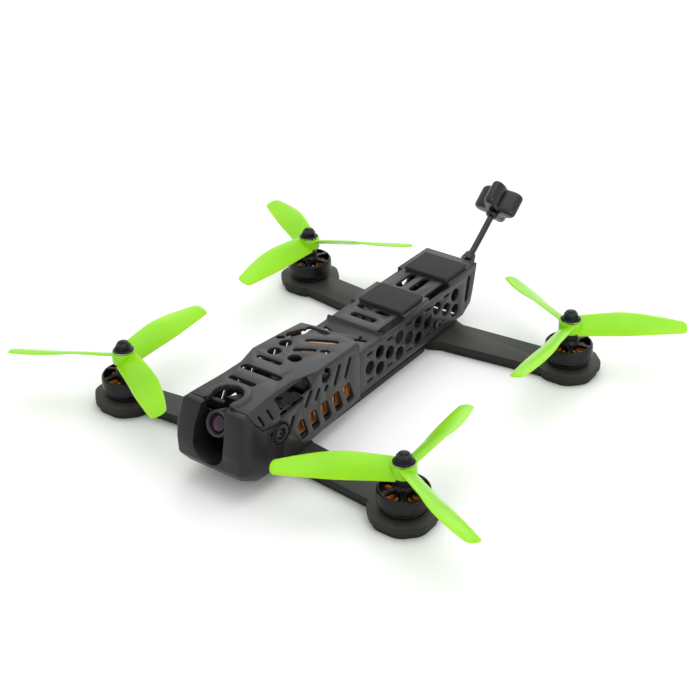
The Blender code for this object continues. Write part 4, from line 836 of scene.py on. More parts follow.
def propeller(corner, centre):
    low = PROP_HUB_TOP - PROP_HUB_HEIGHT
    bore = SHAFT_RADIUS + 0.05 * MM
    rim = PROP_HUB_RADIUS
    hub = lathe("propeller_looks_" + corner, [
        (bore, low), (rim - 0.5 * MM, low), (rim, low + 0.5 * MM), (rim, PROP_HUB_TOP - 0.5 * MM),
        (rim - 0.15 * MM, PROP_HUB_TOP - 0.15 * MM), (rim - 0.5 * MM, PROP_HUB_TOP),
        (bore, PROP_HUB_TOP)], 64)
    blades = []
    for k in range(3):
        heading = math.radians(FIRST_BLADE[corner] + 120.0 * k)
        sections = []
        for step in range(30):
            share = 0.06 + 0.9 * step / 29
            sections.append(blade_section(PROP_RADIUS * share, heading, SPIN[corner]))
        for step in range(1, 8):
            bend = 0.5 * math.pi * step / 7.0
            share = 0.96 + 0.04 * math.sin(bend)
            sections.append(blade_section(PROP_RADIUS * share, heading, SPIN[corner],
                                          squeeze=max(math.cos(bend) ** 0.8, 0.12)))
        blades.append(loft("blade", sections, closed=True))
    fuse(hub, *blades)
    cut(hub, cylinder("bore", bore, 3 * PROP_HUB_HEIGHT, (0, 0, PROP_HUB_TOP), segments=64))
    hub.location = centre
    finish_piece(hub, "blade", "rotor_" + corner, ["propeller_" + corner], 40)


def motors():
    for corner, centre in MOTORS.items():
        motor_base(corner, centre)
        stator(corner, centre)
        bell(corner, centre)
        shaft(corner, centre)
        nut(corner, centre)
        propeller(corner, centre)


# ---------------------------------------------------------------- canopy
def canopy_half(y):
    share = (y - CANOPY_FRONT_Y) / (CANOPY_REAR_Y - CANOPY_FRONT_Y)
    return CANOPY_FRONT_HALF + (CANOPY_REAR_HALF - CANOPY_FRONT_HALF) * share


def pod_half(y):
    share = (y - CANOPY_REAR_Y) / (POD_REAR_Y - CANOPY_REAR_Y)
    return POD_FRONT_HALF + (POD_REAR_HALF - POD_FRONT_HALF) * share


def canopy_section(y, chamfer_low, top_half, top, crown, half, wall):
    """Points across the canopy from one lower edge over the top to the other, wall inwards of its skin."""
    slope = math.atan2(top - chamfer_low, half - top_half)
    side_fold = (half - wall, chamfer_low - wall * (1 - math.sin(slope)) / math.cos(slope))
    top_fold = (top_half - wall * (1 - math.cos(slope)) / math.sin(slope), top - wall)
    right = [(half - wall, BODY_BOTTOM - 3 * wall), side_fold, top_fold,
             (top_half * 0.5, top - wall + crown * 0.8)]
    if not wall:
        folds = rounded(right, FOLD_RADIUS, 3)[4:12]
        right = [right[0], *folds, right[3]]
    across = right + [(0.0, top - wall + crown)] + [(-x, z) for x, z in reversed(right)]
    return [(x, y, z) for x, z in across]


def canopy_block(name, wall=0.0):
    """The canopy's outside as a solid block, or its inside when a wall is given."""
    fade_y = CANOPY_FRONT_Y + 54.5 * MM      # where the shoulder facet closes into a plain fold
    front_low = CANOPY_FRONT_TOP - 8.9 * MM
    middle_top = (CANOPY_FRONT_TOP + CANOPY_REAR_TOP) / 2
    brow_y = CANOPY_FRONT_Y + 1.5 * MM
    rear_y = CANOPY_REAR_Y - 14 * MM
    rows = [      # y, side fold height, top fold half width, top height, crown, half width
        (brow_y, CANOPY_FRONT_TOP - 5.0 * MM, 18.0 * MM, CANOPY_FRONT_TOP - 0.6 * MM, 0.3 * MM,
         CANOPY_FRONT_HALF - 1.2 * MM),
        (CANOPY_FRONT_Y + 8 * MM, CANOPY_FRONT_TOP - 7.2 * MM, 17.4 * MM, CANOPY_FRONT_TOP - 0.4 * MM,
         0.4 * MM, canopy_half(CANOPY_FRONT_Y + 8 * MM)),
        (CANOPY_FRONT_Y + 24 * MM, front_low, 16.2 * MM, CANOPY_FRONT_TOP - 0.5 * MM, 0.5 * MM,
         canopy_half(CANOPY_FRONT_Y + 24 * MM)),
        (CANOPY_FRONT_Y + 40 * MM, front_low + 0.2 * MM, 16.4 * MM, middle_top + 0.6 * MM, 0.5 * MM,
         canopy_half(CANOPY_FRONT_Y + 40 * MM)),
        (fade_y, middle_top - 1.4 * MM, canopy_half(fade_y) - 1.2 * MM, middle_top - 0.1 * MM, 0.6 * MM,
         canopy_half(fade_y)),
        (rear_y, CANOPY_REAR_TOP - 0.9 * MM, canopy_half(CANOPY_REAR_Y) - 0.6 * MM,
         CANOPY_REAR_TOP + 0.2 * MM, 1.2 * MM, canopy_half(rear_y)),
        (CANOPY_REAR_Y, CANOPY_REAR_TOP - 1.9 * MM, canopy_half(CANOPY_REAR_Y) - 1.8 * MM,
         CANOPY_REAR_TOP - 0.6 * MM, 1.2 * MM, canopy_half(CANOPY_REAR_Y)),
    ]
    if wall:
        rows = [(rows[0][0] - 5 * MM, *rows[0][1:]), *rows[1:], (rows[-1][0] + 5 * MM, *rows[-1][1:])]
    block = loft(name, [canopy_section(*row, wall) for row in rows], closed=True)
    block.modifiers.new("triangles", "TRIANGULATE")
    return apply_modifiers(block)


def seam_line(shift_by):
    """Side-view line (y, z) where the nose moulding meets the canopy, top front to bottom."""
    top_y = CANOPY_FRONT_Y + 2.7 * MM
    line = [(top_y, 70 * MM), (top_y, CANOPY_FRONT_TOP - 4.2 * MM),
            (top_y + 4.1 * MM, CANOPY_FRONT_TOP - 9.7 * MM)]
    line = [(y + shift_by, z + shift_by) for y, z in line]
    around = BOSS_GROOVE + GAP + shift_by
    for angle in range(110, -71, -12):
        turn = math.radians(angle)
        line.append((PIVOT_Y + around * math.cos(turn), PIVOT_Z + around * math.sin(turn)))
    line.append((PIVOT_Y + 2.4 * MM + shift_by, -5 * MM))
    return line


def nose_front(height):
    """How far forward the nose's face stands at a height: it leans back towards the top."""
    lean = max(0.0, (height - WINDOW_CENTRE) / (CANOPY_FRONT_TOP - WINDOW_CENTRE))
    return CANOPY_FRONT_Y - NOSE_REACH + 5.8 * MM * lean ** 1.2


def window_cutter(low_y, high_y):
    """The camera window: round at the bottom, narrowing to its open top, cut from the front."""
    shoulder = WINDOW_CENTRE + 10 * MM
    right = [(WINDOW_HALF, WINDOW_CENTRE), (WINDOW_HALF, shoulder - 2 * MM),
             (WINDOW_HALF - 0.25 * MM, shoulder), (WINDOW_HALF - 0.7 * MM, shoulder + 2 * MM),
             (WINDOW_TOP_HALF, CANOPY_FRONT_TOP), (WINDOW_TOP_HALF, 70 * MM)]
    outline = right + [(-x, z) for x, z in reversed(right)]
    for step in range(1, 32):
        angle = math.pi + math.pi * step / 32
        outline.append((WINDOW_HALF * math.cos(angle), WINDOW_CENTRE + WINDOW_HALF * math.sin(angle)))
    return prism("window", outline, low_y, high_y, axis="Y")


def side_openings():
    """Outlines (y, z) of the openings in both canopy sides."""
    outlines = []
    for k in range(5):
        y = CANOPY_FRONT_Y + 39.0 * MM + k * 10.5 * MM
        z = 20.3 * MM - 0.25 * MM * k
        lean, tall, wide = 2.2 * MM, 6.2 * MM, 3.2 * MM
        outlines.append(rounded([(y + lean - wide, z - tall), (y + lean + wide, z - tall),
                                 (y - lean + wide, z + tall), (y - lean - wide, z + tall)], 2.4 * MM))
    slots = [
        ((-89.0, 38.0), (-72.0, 38.0), 1.5), ((-79.4, 31.4), (-83.4, 24.6), 1.3),
        ((-64.0, 38.0), (-68.4, 32.4), 1.4), ((-57.0, 35.4), (-59.4, 31.6), 1.3),
        ((-50.0, 33.4), (-50.6, 32.6), 1.5), ((-38.2, 39.4), (-42.4, 31.4), 1.4),
        ((-28.4, 38.8), (-32.4, 30.6), 1.4),
    ]
    for start, end, radius in slots:
        outlines.append(capsule([v * MM for v in start], [v * MM for v in end], radius * MM))
    outlines.append(rounded(disc((-50.0 * MM, 40.4 * MM), 4.4 * MM, 6), 0.8 * MM, 3))
    return outlines


def top_openings():
    """Outlines (x, y) of the openings in the canopy's top."""
    slots = [
        ((-9.8, -86.5), (3.4, -86.5), 1.7), ((-11.2, -74.2), (9.2, -74.2), 2.5),
        ((-11.8, -62.2), (1.0, -62.2), 1.6), ((-0.6, -46.2), (6.6, -41.4), 1.9),
        ((-1.4, -34.6), (10.6, -27.4), 1.8), ((-10.0, -22.8), (1.0, -22.8), 1.8),
        ((11.4, -38.8), (12.6, -38.0), 1.8), ((-17.0, -39.6), (-15.6, -38.8), 1.6),
        ((-13.4, -33.6), (-10.4, -27.4), 3.2),
    ]
    outlines = [capsule([v * MM for v in a], [v * MM for v in b], r * MM) for a, b, r in slots]
    for x, y, radius in ((-9.2, -53.4, 3.7), (4.0, -53.4, 3.7), (-9.8, -43.4, 3.6)):
        outlines.append(disc((x * MM, y * MM), radius * MM))
    return outlines


def shoulder_cutters():
    """Long slots and short slits through the sloping shoulder facets of the canopy, on both sides."""
    cutters = []
    for side in (1, -1):
        lean = Matrix.Rotation(side * math.radians(48.5), 4, "Y")
        for y, length, width, drop in ((-75.6, 25.0, 6.4, 0.0), (-103.2, 1.7, 5.6, 1.2),
                                       (-96.0, 1.7, 5.6, 1.2)):
            centre = (side * (20.4 + drop) * MM, y * MM, (43.0 - drop) * MM)
            place = Matrix.Translation(centre) @ lean
            corner = [(-width / 2 * MM, -length / 2 * MM), (width / 2 * MM, -length / 2 * MM),
                      (width / 2 * MM, length / 2 * MM), (-width / 2 * MM, length / 2 * MM)]
            cutters.append(moved(prism("shoulder", rounded(corner, 0.7 * MM, 3), -7 * MM, 7 * MM), place))
    return cutters


def canopy():
    shell = cut(canopy_block("front_canopy_looks"), canopy_block("canopy_hollow", SHELL))
    top = CANOPY_FRONT_TOP
    lip = lathe("hatch_lip", [
        (0, top - MM), (HATCH_RADIUS + 4.9 * MM, top - MM), (HATCH_RADIUS + 3.9 * MM, top + 0.1 * MM),
        (HATCH_RADIUS + 3.0 * MM, top + 0.9 * MM), (HATCH_RADIUS + 2.0 * MM, top + 1.25 * MM),
        (HATCH_RADIUS + MM, top + 1.3 * MM), (0, top + 1.3 * MM)], 62, closed=False)
    fuse(shell, moved(lip, Matrix.Translation((0, HATCH_Y, 0))))
    below = seam_line(0.0) + [(CANOPY_FRONT_Y - 20 * MM, -5 * MM), (CANOPY_FRONT_Y - 20 * MM, 70 * MM)]
    cutters = [
        prism("seam", below, -40 * MM, 40 * MM, axis="X"),
        window_cutter(CANOPY_FRONT_Y - 20 * MM, HATCH_Y),
        cylinder("hatch", HATCH_RADIUS, 30 * MM, (0, HATCH_Y, CANOPY_FRONT_TOP), segments=64),
    ]
    for outline in side_openings():
        cutters.append(prism("side", outline, -40 * MM, 40 * MM, axis="X"))
    for outline in top_openings():
        cutters.append(prism("top", outline, CANOPY_REAR_TOP - 4 * MM, 70 * MM))
    cut(shell, *cutters, *shoulder_cutters())
    merge_flat(shell)
    soften(shell, 0.25 * MM, 2, 50, clamp=False)
    finish_piece(shell, "shell", AIRFRAME, ["front_canopy"], 30)


# ---------------------------------------------------------------- nose
def nose_hull():
    """The nose as a convex block: leaning front, bevelled corners and a chin."""
    top = CANOPY_FRONT_TOP
    rear_y = PIVOT_Y + BOSS_GROOVE + MM
    front = nose_front(WINDOW_BOTTOM)
    back_y = CANOPY_FRONT_Y + 8 * MM
    side, rear = canopy_half(back_y), canopy_half(rear_y)
    half = CANOPY_FRONT_HALF - 4.7 * MM          # flat of the front face
    bevel = 5.0 * MM                             # how far back the bevelled corner reaches
    middle = WINDOW_CENTRE + 8 * MM
    return convex("nose_bumper_looks", mirrored([
        (half - 1.6 * MM, nose_front(top), top - 0.7 * MM), (half - 1.6 * MM, rear_y, top - 0.5 * MM),
        (half - 0.4 * MM, nose_front(top) - 0.2 * MM, top - 2.0 * MM),
        (side - 1.6 * MM, nose_front(top) + 3.4 * MM, top - 4.4 * MM),
        (half, nose_front(middle), middle), (half, front, WINDOW_CENTRE),
        (half - 0.4 * MM, front, WINDOW_BOTTOM),
        (side - 1.0 * MM, front + bevel, middle), (side - 0.8 * MM, front + bevel, WINDOW_BOTTOM),
        (half - 3.0 * MM, front + 4.4 * MM, NOSE_BOTTOM + 6.0 * MM),
        (side - 2.2 * MM, front + 6.6 * MM, NOSE_BOTTOM + 7.4 * MM),
        (half - 5.0 * MM, front + 10.5 * MM, NOSE_BOTTOM + 1.2 * MM),
        (side - 3.4 * MM, front + 12 * MM, NOSE_BOTTOM + 3.2 * MM),
        (side, back_y, top - 8 * MM), (side, back_y, NOSE_BOTTOM + 6.4 * MM),
        (rear, rear_y, top - 8 * MM), (rear, rear_y, BODY_BOTTOM),
        (half - 3.0 * MM, PIVOT_Y + 2 * MM, NOSE_BOTTOM),
    ]))


def boss_disc(radius, inner_end, outer_end):
    """A pair of discs on the tilt axis, one on either side."""
    return [cylinder("disc", radius, outer_end - inner_end,
                     (sign * (inner_end + outer_end) / 2, PIVOT_Y, PIVOT_Z), "X") for sign in (1, -1)]


def nose():
    body = nose_hull()
    soften(body, 0.7 * MM, 3, 12)
    side = canopy_half(CANOPY_FRONT_Y + 8 * MM)
    rear = canopy_half(PIVOT_Y + BOSS_GROOVE)
    shoulder = NOSE_BOTTOM + 9.5 * MM
    inside_front = PIVOT_Y - 12.0 * MM
    floor = NOSE_BOTTOM + 2.0 * MM
    low_half = CANOPY_FRONT_HALF - 9.8 * MM
    cavity = convex("cavity", mirrored([
        (low_half, inside_front, floor), (low_half, -60 * MM, floor),
        (side - NOSE_WALL - 0.6 * MM, inside_front, shoulder + MM),
        (rear - NOSE_WALL, -60 * MM, shoulder + MM),
        (side - NOSE_WALL - 0.6 * MM, inside_front, 70 * MM), (rear - NOSE_WALL, -60 * MM, 70 * MM),
    ]))
    above = seam_line(-GAP) + [(10 * MM, -5 * MM), (10 * MM, 70 * MM)]
    arm_front = FRONT_ARM_ROOT_Y - FRONT_ARM_WIDTH / 2 - FRONT_GUSSET - GAP
    outer_side = canopy_half(PIVOT_Y)
    fuse(body, *boss_disc(BOSS_FLANGE, outer_side - 2 * MM, outer_side + 0.7 * MM))
    cut(body, cavity, prism("trim", above, -40 * MM, 40 * MM, axis="X"),
        window_cutter(CANOPY_FRONT_Y - 20 * MM, inside_front + MM),
        box("arm_room", (80 * MM, 40 * MM, 20 * MM), (0, arm_front + 20 * MM, BODY_BOTTOM - 10 * MM)),
        *boss_disc(BOSS_GROOVE, outer_side - 0.7 * MM, outer_side + 20 * MM))
    fuse(body, *boss_disc(BOSS_RADIUS, CAMERA_SIDE / 2 + GAP, outer_side + 0.9 * MM))
    cut(body, *boss_disc(1.5 * MM, 2 * MM, 40 * MM),
        *boss_disc(3.0 * MM, outer_side - 1.6 * MM, outer_side + 20 * MM))
    merge_flat(body)
    soften(body, 0.25 * MM, 2, 50, clamp=False)
    finish_piece(body, "nose", AIRFRAME, ["nose_bumper"], 30)


# ---------------------------------------------------------------- tail pod
def taper_pod(obj, wall=0.0):
    """Bring a straight block to the pod's width, which narrows towards the tail."""
    for vert in obj.data.vertices:
        vert.co.x *= (pod_half(vert.co.y) - wall) / POD_FRONT_HALF
    return obj


def screw_spot():
    """(y, z) of the screw that closes the pod's sides."""
    return POD_STEP_Y - 2.3 * MM + 3 * LATTICE_PITCH, POD_TOP - 10.4 * MM - 2 * LATTICE_ROW


def pod_side_openings():
    outlines = []
    top_row = POD_TOP - 10.4 * MM
    for k in range(5):
        y = POD_STEP_Y - 2.3 * MM + k * LATTICE_PITCH
        dash = y - LATTICE_PITCH / 2
        outlines.append(disc((y, top_row), LATTICE_HOLE))
        outlines.append(disc((dash, top_row - LATTICE_ROW), LATTICE_HOLE))
        if k != 3:
            outlines.append(disc((y, top_row - 2 * LATTICE_ROW), LATTICE_HOLE))
        outlines.append(capsule((dash - 2 * MM, top_row + 3.6 * MM), (dash + 2 * MM, top_row + 3.6 * MM),
                                0.7 * MM, 5))
        if k < 4:
            outlines.append(capsule((dash - 2 * MM, top_row - 12.8 * MM),
                                    (dash + 2 * MM, top_row - 12.8 * MM), 0.7 * MM, 5))
    outlines.append(capsule((POD_REAR_Y - 9.2 * MM, POD_TOP - 6.2 * MM),
                            (POD_REAR_Y - 12.0 * MM, POD_TOP - 19.0 * MM), 1.5 * MM))
    return outlines


def pod_top_openings():
    slots = [((-6.2, 12.6), (6.2, 12.6), 2.2), ((-4.5, 54.5), (-4.5, 67.5), 2.4),
             ((4.5, 54.5), (4.5, 67.5), 2.4), ((-8.6, 22.4), (-3.8, 22.4), 2.2),
             ((3.8, 22.4), (8.6, 22.4), 2.2), ((8.0, -6.4), (13.2, -4.6), 1.0),
             ((10.2, -5.7), (8.6, -2.6), 0.9), ((-8.0, -6.4), (-13.2, -4.6), 1.0),
             ((-12.4, -12.0), (3.4, -12.0), 1.1)]
    return [capsule([v * MM for v in a], [v * MM for v in b], r * MM) for a, b, r in slots]


def tail_pod():
    tab_top = POD_TOP - POD_STEP
    front = CANOPY_REAR_Y + GAP + 0.1 * MM
    outer = [
        (front, BODY_BOTTOM), (POD_REAR_Y - 14.6 * MM, BODY_BOTTOM),
        (POD_REAR_Y - 6.2 * MM, BODY_BOTTOM + 5 * MM),
        (POD_REAR_Y - 3.8 * MM, BODY_BOTTOM + 12.6 * MM), (POD_REAR_Y, POD_TOP), (POD_STEP_Y, POD_TOP),
        (POD_STEP_Y - 1.2 * MM, tab_top), (front, tab_top),
    ]
    pod = prism("tail_pod_looks", outer, -POD_FRONT_HALF, POD_FRONT_HALF, axis="X")
    inner = [
        (front - 10 * MM, -MM), (POD_REAR_Y - 15.2 * MM, -MM), (POD_REAR_Y - 15.2 * MM, BODY_BOTTOM + MM),
        (POD_REAR_Y - 7.8 * MM, BODY_BOTTOM + 5.8 * MM), (POD_REAR_Y - 5.8 * MM, BODY_BOTTOM + 12.8 * MM),
        (POD_REAR_Y - 2.4 * MM, POD_TOP - SHELL), (POD_STEP_Y + SHELL, POD_TOP - SHELL),
        (POD_STEP_Y + 0.6 * MM, tab_top - SHELL), (front - 10 * MM, tab_top - SHELL),
    ]
    hollow = prism("hollow", inner, -POD_FRONT_HALF, POD_FRONT_HALF, axis="X")
    soften(pod, 0.9 * MM, 3, 20)
    taper_pod(pod)
    taper_pod(hollow, SHELL)
    cutters = [hollow]
    for outline in pod_side_openings():
        cutters.append(prism("lattice", outline, -40 * MM, 40 * MM, axis="X"))
    for outline in pod_top_openings():
        cutters.append(prism("deck", outline, tab_top - 4 * MM, 70 * MM))
    y, z = screw_spot()
    for side in (1, -1):
        cutters.append(cylinder("screw_hole", 1.8 * MM, 30 * MM, (side * POD_REAR_HALF, y, z), "X", 24))
        for slot_y in (POD_STEP_Y + 11 * MM, POD_STEP_Y + 57 * MM):
            x = pod_half(slot_y) - STRAP_RIM - STRAP_SLOT / 2
            half_x, half_y = STRAP_SLOT / 2, STRAP_LENGTH / 2
            corner = [(side * x - half_x, slot_y - half_y), (side * x + half_x, slot_y - half_y),
                      (side * x + half_x, slot_y + half_y), (side * x - half_x, slot_y + half_y)]
            cutters.append(prism("strap", rounded(corner, 0.6 * MM, 4), POD_TOP - 6 * MM, POD_TOP + 8 * MM))
            cutters.append(box("sill", (10 * MM, STRAP_LENGTH + 1.2 * MM, 10 * MM),
                               (side * (x - half_x + 4.5 * MM), slot_y, POD_TOP - STRAP_SILL + 5 * MM)))
    exit_hole = cylinder("antenna_exit", STEM_RADIUS + 0.8 * MM, 16 * MM, (0, 0, 0), segments=32)
    cutters.append(moved(exit_hole, along_antenna(antenna_exit(), STEM_PITCH)))
    cut(pod, *cutters)
    merge_flat(pod)
    soften(pod, 0.25 * MM, 2, 50, clamp=False)
    finish_piece(pod, "shell", AIRFRAME, ["tail_pod"], 30)


# ---------------------------------------------------------------- small fittings
def grip_pads():
    """Battery grip pads: soft slabs with rounded corners."""
    for node in ("battery_pad_front", "battery_pad_rear"):
        low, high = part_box(node)
        corner = [(low.x, low.y), (high.x, low.y), (high.x, high.y), (low.x, high.y)]
        pad = prism(node + "_looks", rounded(corner, 0.7 * MM, 5), low.z, high.z)
        soften(pad, 0.35 * MM, 3, 40)
        finish_piece(pad, "rubber", AIRFRAME, [node], 30)


def socket_screw(node, side, seat, y, z, head_radius, head_height, body):
    """Button-head socket screw lying along X."""
    shank_low, shank_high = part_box(node)
    inner_end, outer_end = sorted((abs(shank_low.x), abs(shank_high.x)))
    length = outer_end - head_height - inner_end
    screw = lathe(node + "_looks", [
        (0, -length), (1.1 * MM, -length), (1.3 * MM, -length + 0.3 * MM), (1.3 * MM, 0.0),
        (head_radius, 0.0), (head_radius, head_height * 0.45), (head_radius * 0.9, head_height * 0.75),
        (head_radius * 0.68, head_height), (0, head_height)], 48, closed=False)
    cut(screw, prism("socket", disc((0, 0), head_radius * 0.42, 6), head_height * 0.3, head_height + MM))
    merge_flat(screw)
    soften(screw, 0.08 * MM, 2, 45)
    moved(screw, Matrix.Translation((side * seat, y, z)) @ Matrix.Rotation(side * math.pi / 2, 4, "Y"))
    finish_piece(screw, "dark_screw", body, [node], 30)


def screws():
    y, z = screw_spot()
    for node, side in (("pod_screw_left", 1), ("pod_screw_right", -1)):
        socket_screw(node, side, pod_half(y) + GAP, y, z, 2.8 * MM, 1.6 * MM, AIRFRAME)
    for node, side in (("camera_screw_left", 1), ("camera_screw_right", -1)):
        socket_screw(node, side, canopy_half(PIVOT_Y) - 1.6 * MM + GAP, PIVOT_Y, PIVOT_Z, 2.5 * MM, 1.7 * MM,
                     "camera")


# ---------------------------------------------------------------- camera
def camera_matrix():
    """Local frame on the tilt axis: +Z looks out of the lens and +Y is up."""
    turn = Matrix.Rotation(math.radians(90 - CAMERA_TILT), 4, "X")
    return Matrix.Translation((0, PIVOT_Y, PIVOT_Z)) @ turn


def flight_camera():
    place = camera_matrix()
    half = CAMERA_SIDE / 2
    body = box("camera_body_looks", (CAMERA_SIDE, CAMERA_SIDE, 14 * MM), (0, 0, -MM))
    soften(body, 1.3 * MM, 4, 30)
    for side in (1, -1):
        cut(body, cylinder("pivot", MM, 8 * MM, (side * (half + MM), 0, 0), "X", 24))
    moved(body, place)
    finish_piece(body, "camera", "camera", ["camera_body"])
    low = 6 * MM + GAP
    tip = LENS_REACH
    barrel = lathe("lens_barrel_looks", [
        (0, low), (LENS_RADIUS, low), (LENS_RADIUS, low + 3.0 * MM),
        (LENS_RADIUS - 0.7 * MM, low + 3.5 * MM),
        (LENS_RADIUS - 0.7 * MM, low + 5.4 * MM), (LENS_RADIUS, low + 5.9 * MM),
        (LENS_RADIUS, tip - 0.5 * MM), (LENS_RADIUS - 0.5 * MM, tip), (LENS_RADIUS - 1.2 * MM, tip),
        (LENS_RADIUS - 1.5 * MM, tip - 0.4 * MM), (LENS_RADIUS - 2.1 * MM, tip - 1.0 * MM),
        (LENS_RADIUS - 2.4 * MM, tip - 2.2 * MM), (0, tip - 2.2 * MM)], 64, closed=False)

    def choose(face):
        return 1 if face.center.z > tip - 0.6 * MM else 0

    paint(barrel, ("camera", "lens_ring"), choose)
    moved(barrel, place)
    finish_piece(barrel, "camera", "camera", ["lens_barrel"])
    glass_low = tip - 2.2 * MM + GAP
    radius = LENS_RADIUS - 2.6 * MM
    dome = [(0, glass_low), (radius, glass_low)]
    for step in range(13):
        angle = math.radians(90 * step / 12)
        dome.append((radius * math.cos(angle), glass_low + 0.3 * MM + 1.2 * MM * math.sin(angle)))
    glass = lathe("lens_glass_looks", dome, 64, closed=False)
    moved(glass, place)
    finish_piece(glass, "glass", "camera", ["lens_glass"])


def camera_leads():
    """Loose bundle of wires from behind the camera down to the flight controller, with a small dark connector
    block that also serves as a filler standing in for the shade inside the hatch.
    """
    board_low, board_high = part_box("flight_controller")
    clear_of_camera = PIVOT_Y + 13.4 * MM
    wires = []
    for k in range(LEAD_COUNT):
        across = (k - 0.6 * LEAD_COUNT) * MM
        start = Vector((across, clear_of_camera, PIVOT_Z + (9 - 3 * (k % 3)) * MM))
        end = Vector((1.6 * across - 5 * MM, board_low.y + 3 * MM, board_high.z + (1.4 + 2.2 * (k % 2)) * MM))
        leave = start + Vector((-4 * MM, 5 * MM, 2 * MM))
        arrive = end + Vector((-2 * MM, -7 * MM, 7 * MM))
        route = bezier(start, leave, arrive, end, 14)
        rings = []
        for point, ahead in zip(route, route[1:] + [2 * route[-1] - route[-2]]):
            out = (ahead - point).normalized()
            up = out.cross(Vector((1, 0, 0)))
            rings.append([point + LEAD_RADIUS * (math.cos(a) * Vector((1, 0, 0)) + math.sin(a) * up)
                          for a in (math.tau * j / 10 for j in range(10))])
        wires.append(loft("wire", rings, closed=True))
    bundle = joined_pieces("camera_leads", wires)
    finish_piece(bundle, "cable", AIRFRAME, [], 50)
    # dark connector block behind the camera: partly a real part, partly a dark filler standing in for the
    # shade seen through the hatch
    plug_and_shade_filler = box("camera_plug", (15 * MM, 3 * MM, 9 * MM),
               (-3.5 * MM, clear_of_camera + 2 * MM, PIVOT_Z + 6 * MM))
    soften(plug_and_shade_filler, 0.4 * MM, 2, 30)
    finish_piece(plug_and_shade_filler, "chip", AIRFRAME, [])


# ---------------------------------------------------------------- electronics
def heat_spreader():
    """Copper block with cooling fins across the aircraft."""
    low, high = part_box("copper_heat_spreader")
    outline = [(low.y, low.z), (high.y, low.z)]
    fins = 11
    pitch = (high.y - low.y) / fins
    valley = low.z + 2.0 * MM
    for k in reversed(range(fins)):
        left = low.y + k * pitch
        outline += [(left + pitch * 0.95, high.z), (left + pitch * 0.35, high.z),
                    (left + pitch * 0.3, valley), (left, valley)] if k else [
                        (left + pitch * 0.95, high.z), (left, high.z)]
    block = prism("heat_spreader_looks", outline, low.x, high.x, axis="X")
    for name in ("stack_post_1", "stack_post_2", "stack_post_3", "stack_post_4"):
        post_low, post_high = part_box(name)
        middle = (post_low + post_high) / 2
        cut(block, cylinder("drill", 1.9 * MM, 60 * MM, middle, segments=24))
    soften(block, 0.15 * MM, 1, 40)
    finish_piece(block, "copper", AIRFRAME, ["copper_heat_spreader"])


def populated_board(node, seed):
    """A board with rounded corners and rows of chips on top."""
    low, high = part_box(node)
    corner = [(low.x, low.y), (high.x, low.y), (high.x, high.y), (low.x, high.y)]
    board = prism(node + "_looks", rounded(corner, 1.5 * MM, 4), low.z, high.z)
    for name in ("stack_post_1", "stack_post_2", "stack_post_3", "stack_post_4"):
        post_low, post_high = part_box(name)
        cut(board, cylinder("drill", 1.9 * MM, 60 * MM, (post_low + post_high) / 2, segments=24))
    soften(board, 0.15 * MM, 1, 40)
    finish_piece(board, "board", AIRFRAME, [node])
    width, length = high.x - low.x, high.y - low.y
    chips = bmesh.new()
    for k in range(9):
        across = 0.22 + 0.28 * ((k * 5 + seed) % 3)
        along = 0.2 + 0.3 * (k // 3)
        size = ((2.5 + (k * 7 + seed) % 4) * MM, (2.2 + (k * 3 + seed) % 5) * MM, (0.7 + 0.2 * (k % 3)) * MM)
        centre = Vector((low.x + width * across, low.y + length * along, high.z + size[2] / 2 - 0.05 * MM))
        made = bmesh.ops.create_cube(chips, size=1.0)
        bmesh.ops.scale(chips, vec=Vector(size), verts=made["verts"])
        bmesh.ops.translate(chips, vec=centre, verts=made["verts"])
    obj = solid(node + "_chips", chips)
    soften(obj, 0.15 * MM, 1, 40)
    finish_piece(obj, "chip", AIRFRAME)


def polished(node, material, width, segments=2, angle=35.0, body=AIRFRAME):
    """A CAD node's own shape with its edges rounded."""
    mesh = frame["nodes"][node].data.copy()
    mesh.materials.clear()
    obj = scene_object(node + "_looks", mesh)
    merge_flat(obj, 0.2)
    soften(obj, width, segments, angle)
    finish_piece(obj, material, body, [node])


def electronics():
    heat_spreader()
    populated_board("esc_board", 1)
    populated_board("flight_controller", 2)
    polished("receiver", "board", 0.3 * MM)
    polished("tape_wrapped_regulator", "tape", 0.5 * MM, 3)
    polished("video_transmitter", "casing", 0.5 * MM, 3)
    polished("base_plate", "plate", 0.25 * MM)
    polished("belly_plate", "plate", 0.25 * MM)
    low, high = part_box("capacitor")
    radius = (high.z - low.z) / 2
    length = high.y - low.y
    can = lathe("capacitor_looks", [
        (0, 0), (radius - 0.6 * MM, 0), (radius, 0.6 * MM), (radius, 1.4 * MM),
        (radius - 0.5 * MM, 2.0 * MM), (radius, 2.6 * MM), (radius, length - 0.5 * MM),
        (radius - 0.5 * MM, length), (0, length)], 48, closed=False)
    moved(can, Matrix.Translation(((low.x + high.x) / 2, low.y, (low.z + high.z) / 2))
          @ Matrix.Rotation(-math.pi / 2, 4, "X"))
    finish_piece(can, "casing", AIRFRAME, ["capacitor"])


# ---------------------------------------------------------------- antenna
def antenna_exit():
    """Where the stem passes through the pod's rear wall."""
    return Vector((ANTENNA_X, POD_REAR_Y, POD_TOP - 4.2 * MM))


def heading(pitch):
    return Vector((0, math.cos(math.radians(pitch)), math.sin(math.radians(pitch))))


def along_antenna(point, pitch):
    """Carry something built along +Z onto a point of the stem."""
    return Matrix.Translation(point) @ Matrix.Rotation(math.radians(pitch - 90), 4, "X")


def bezier(p0, p1, p2, p3, count):
    points = []
    for k in range(count + 1):
        t = k / count
        points.append((1 - t) ** 3 * p0 + 3 * t * (1 - t) ** 2 * p1
                      + 3 * t ** 2 * (1 - t) * p2 + t ** 3 * p3)
    return points


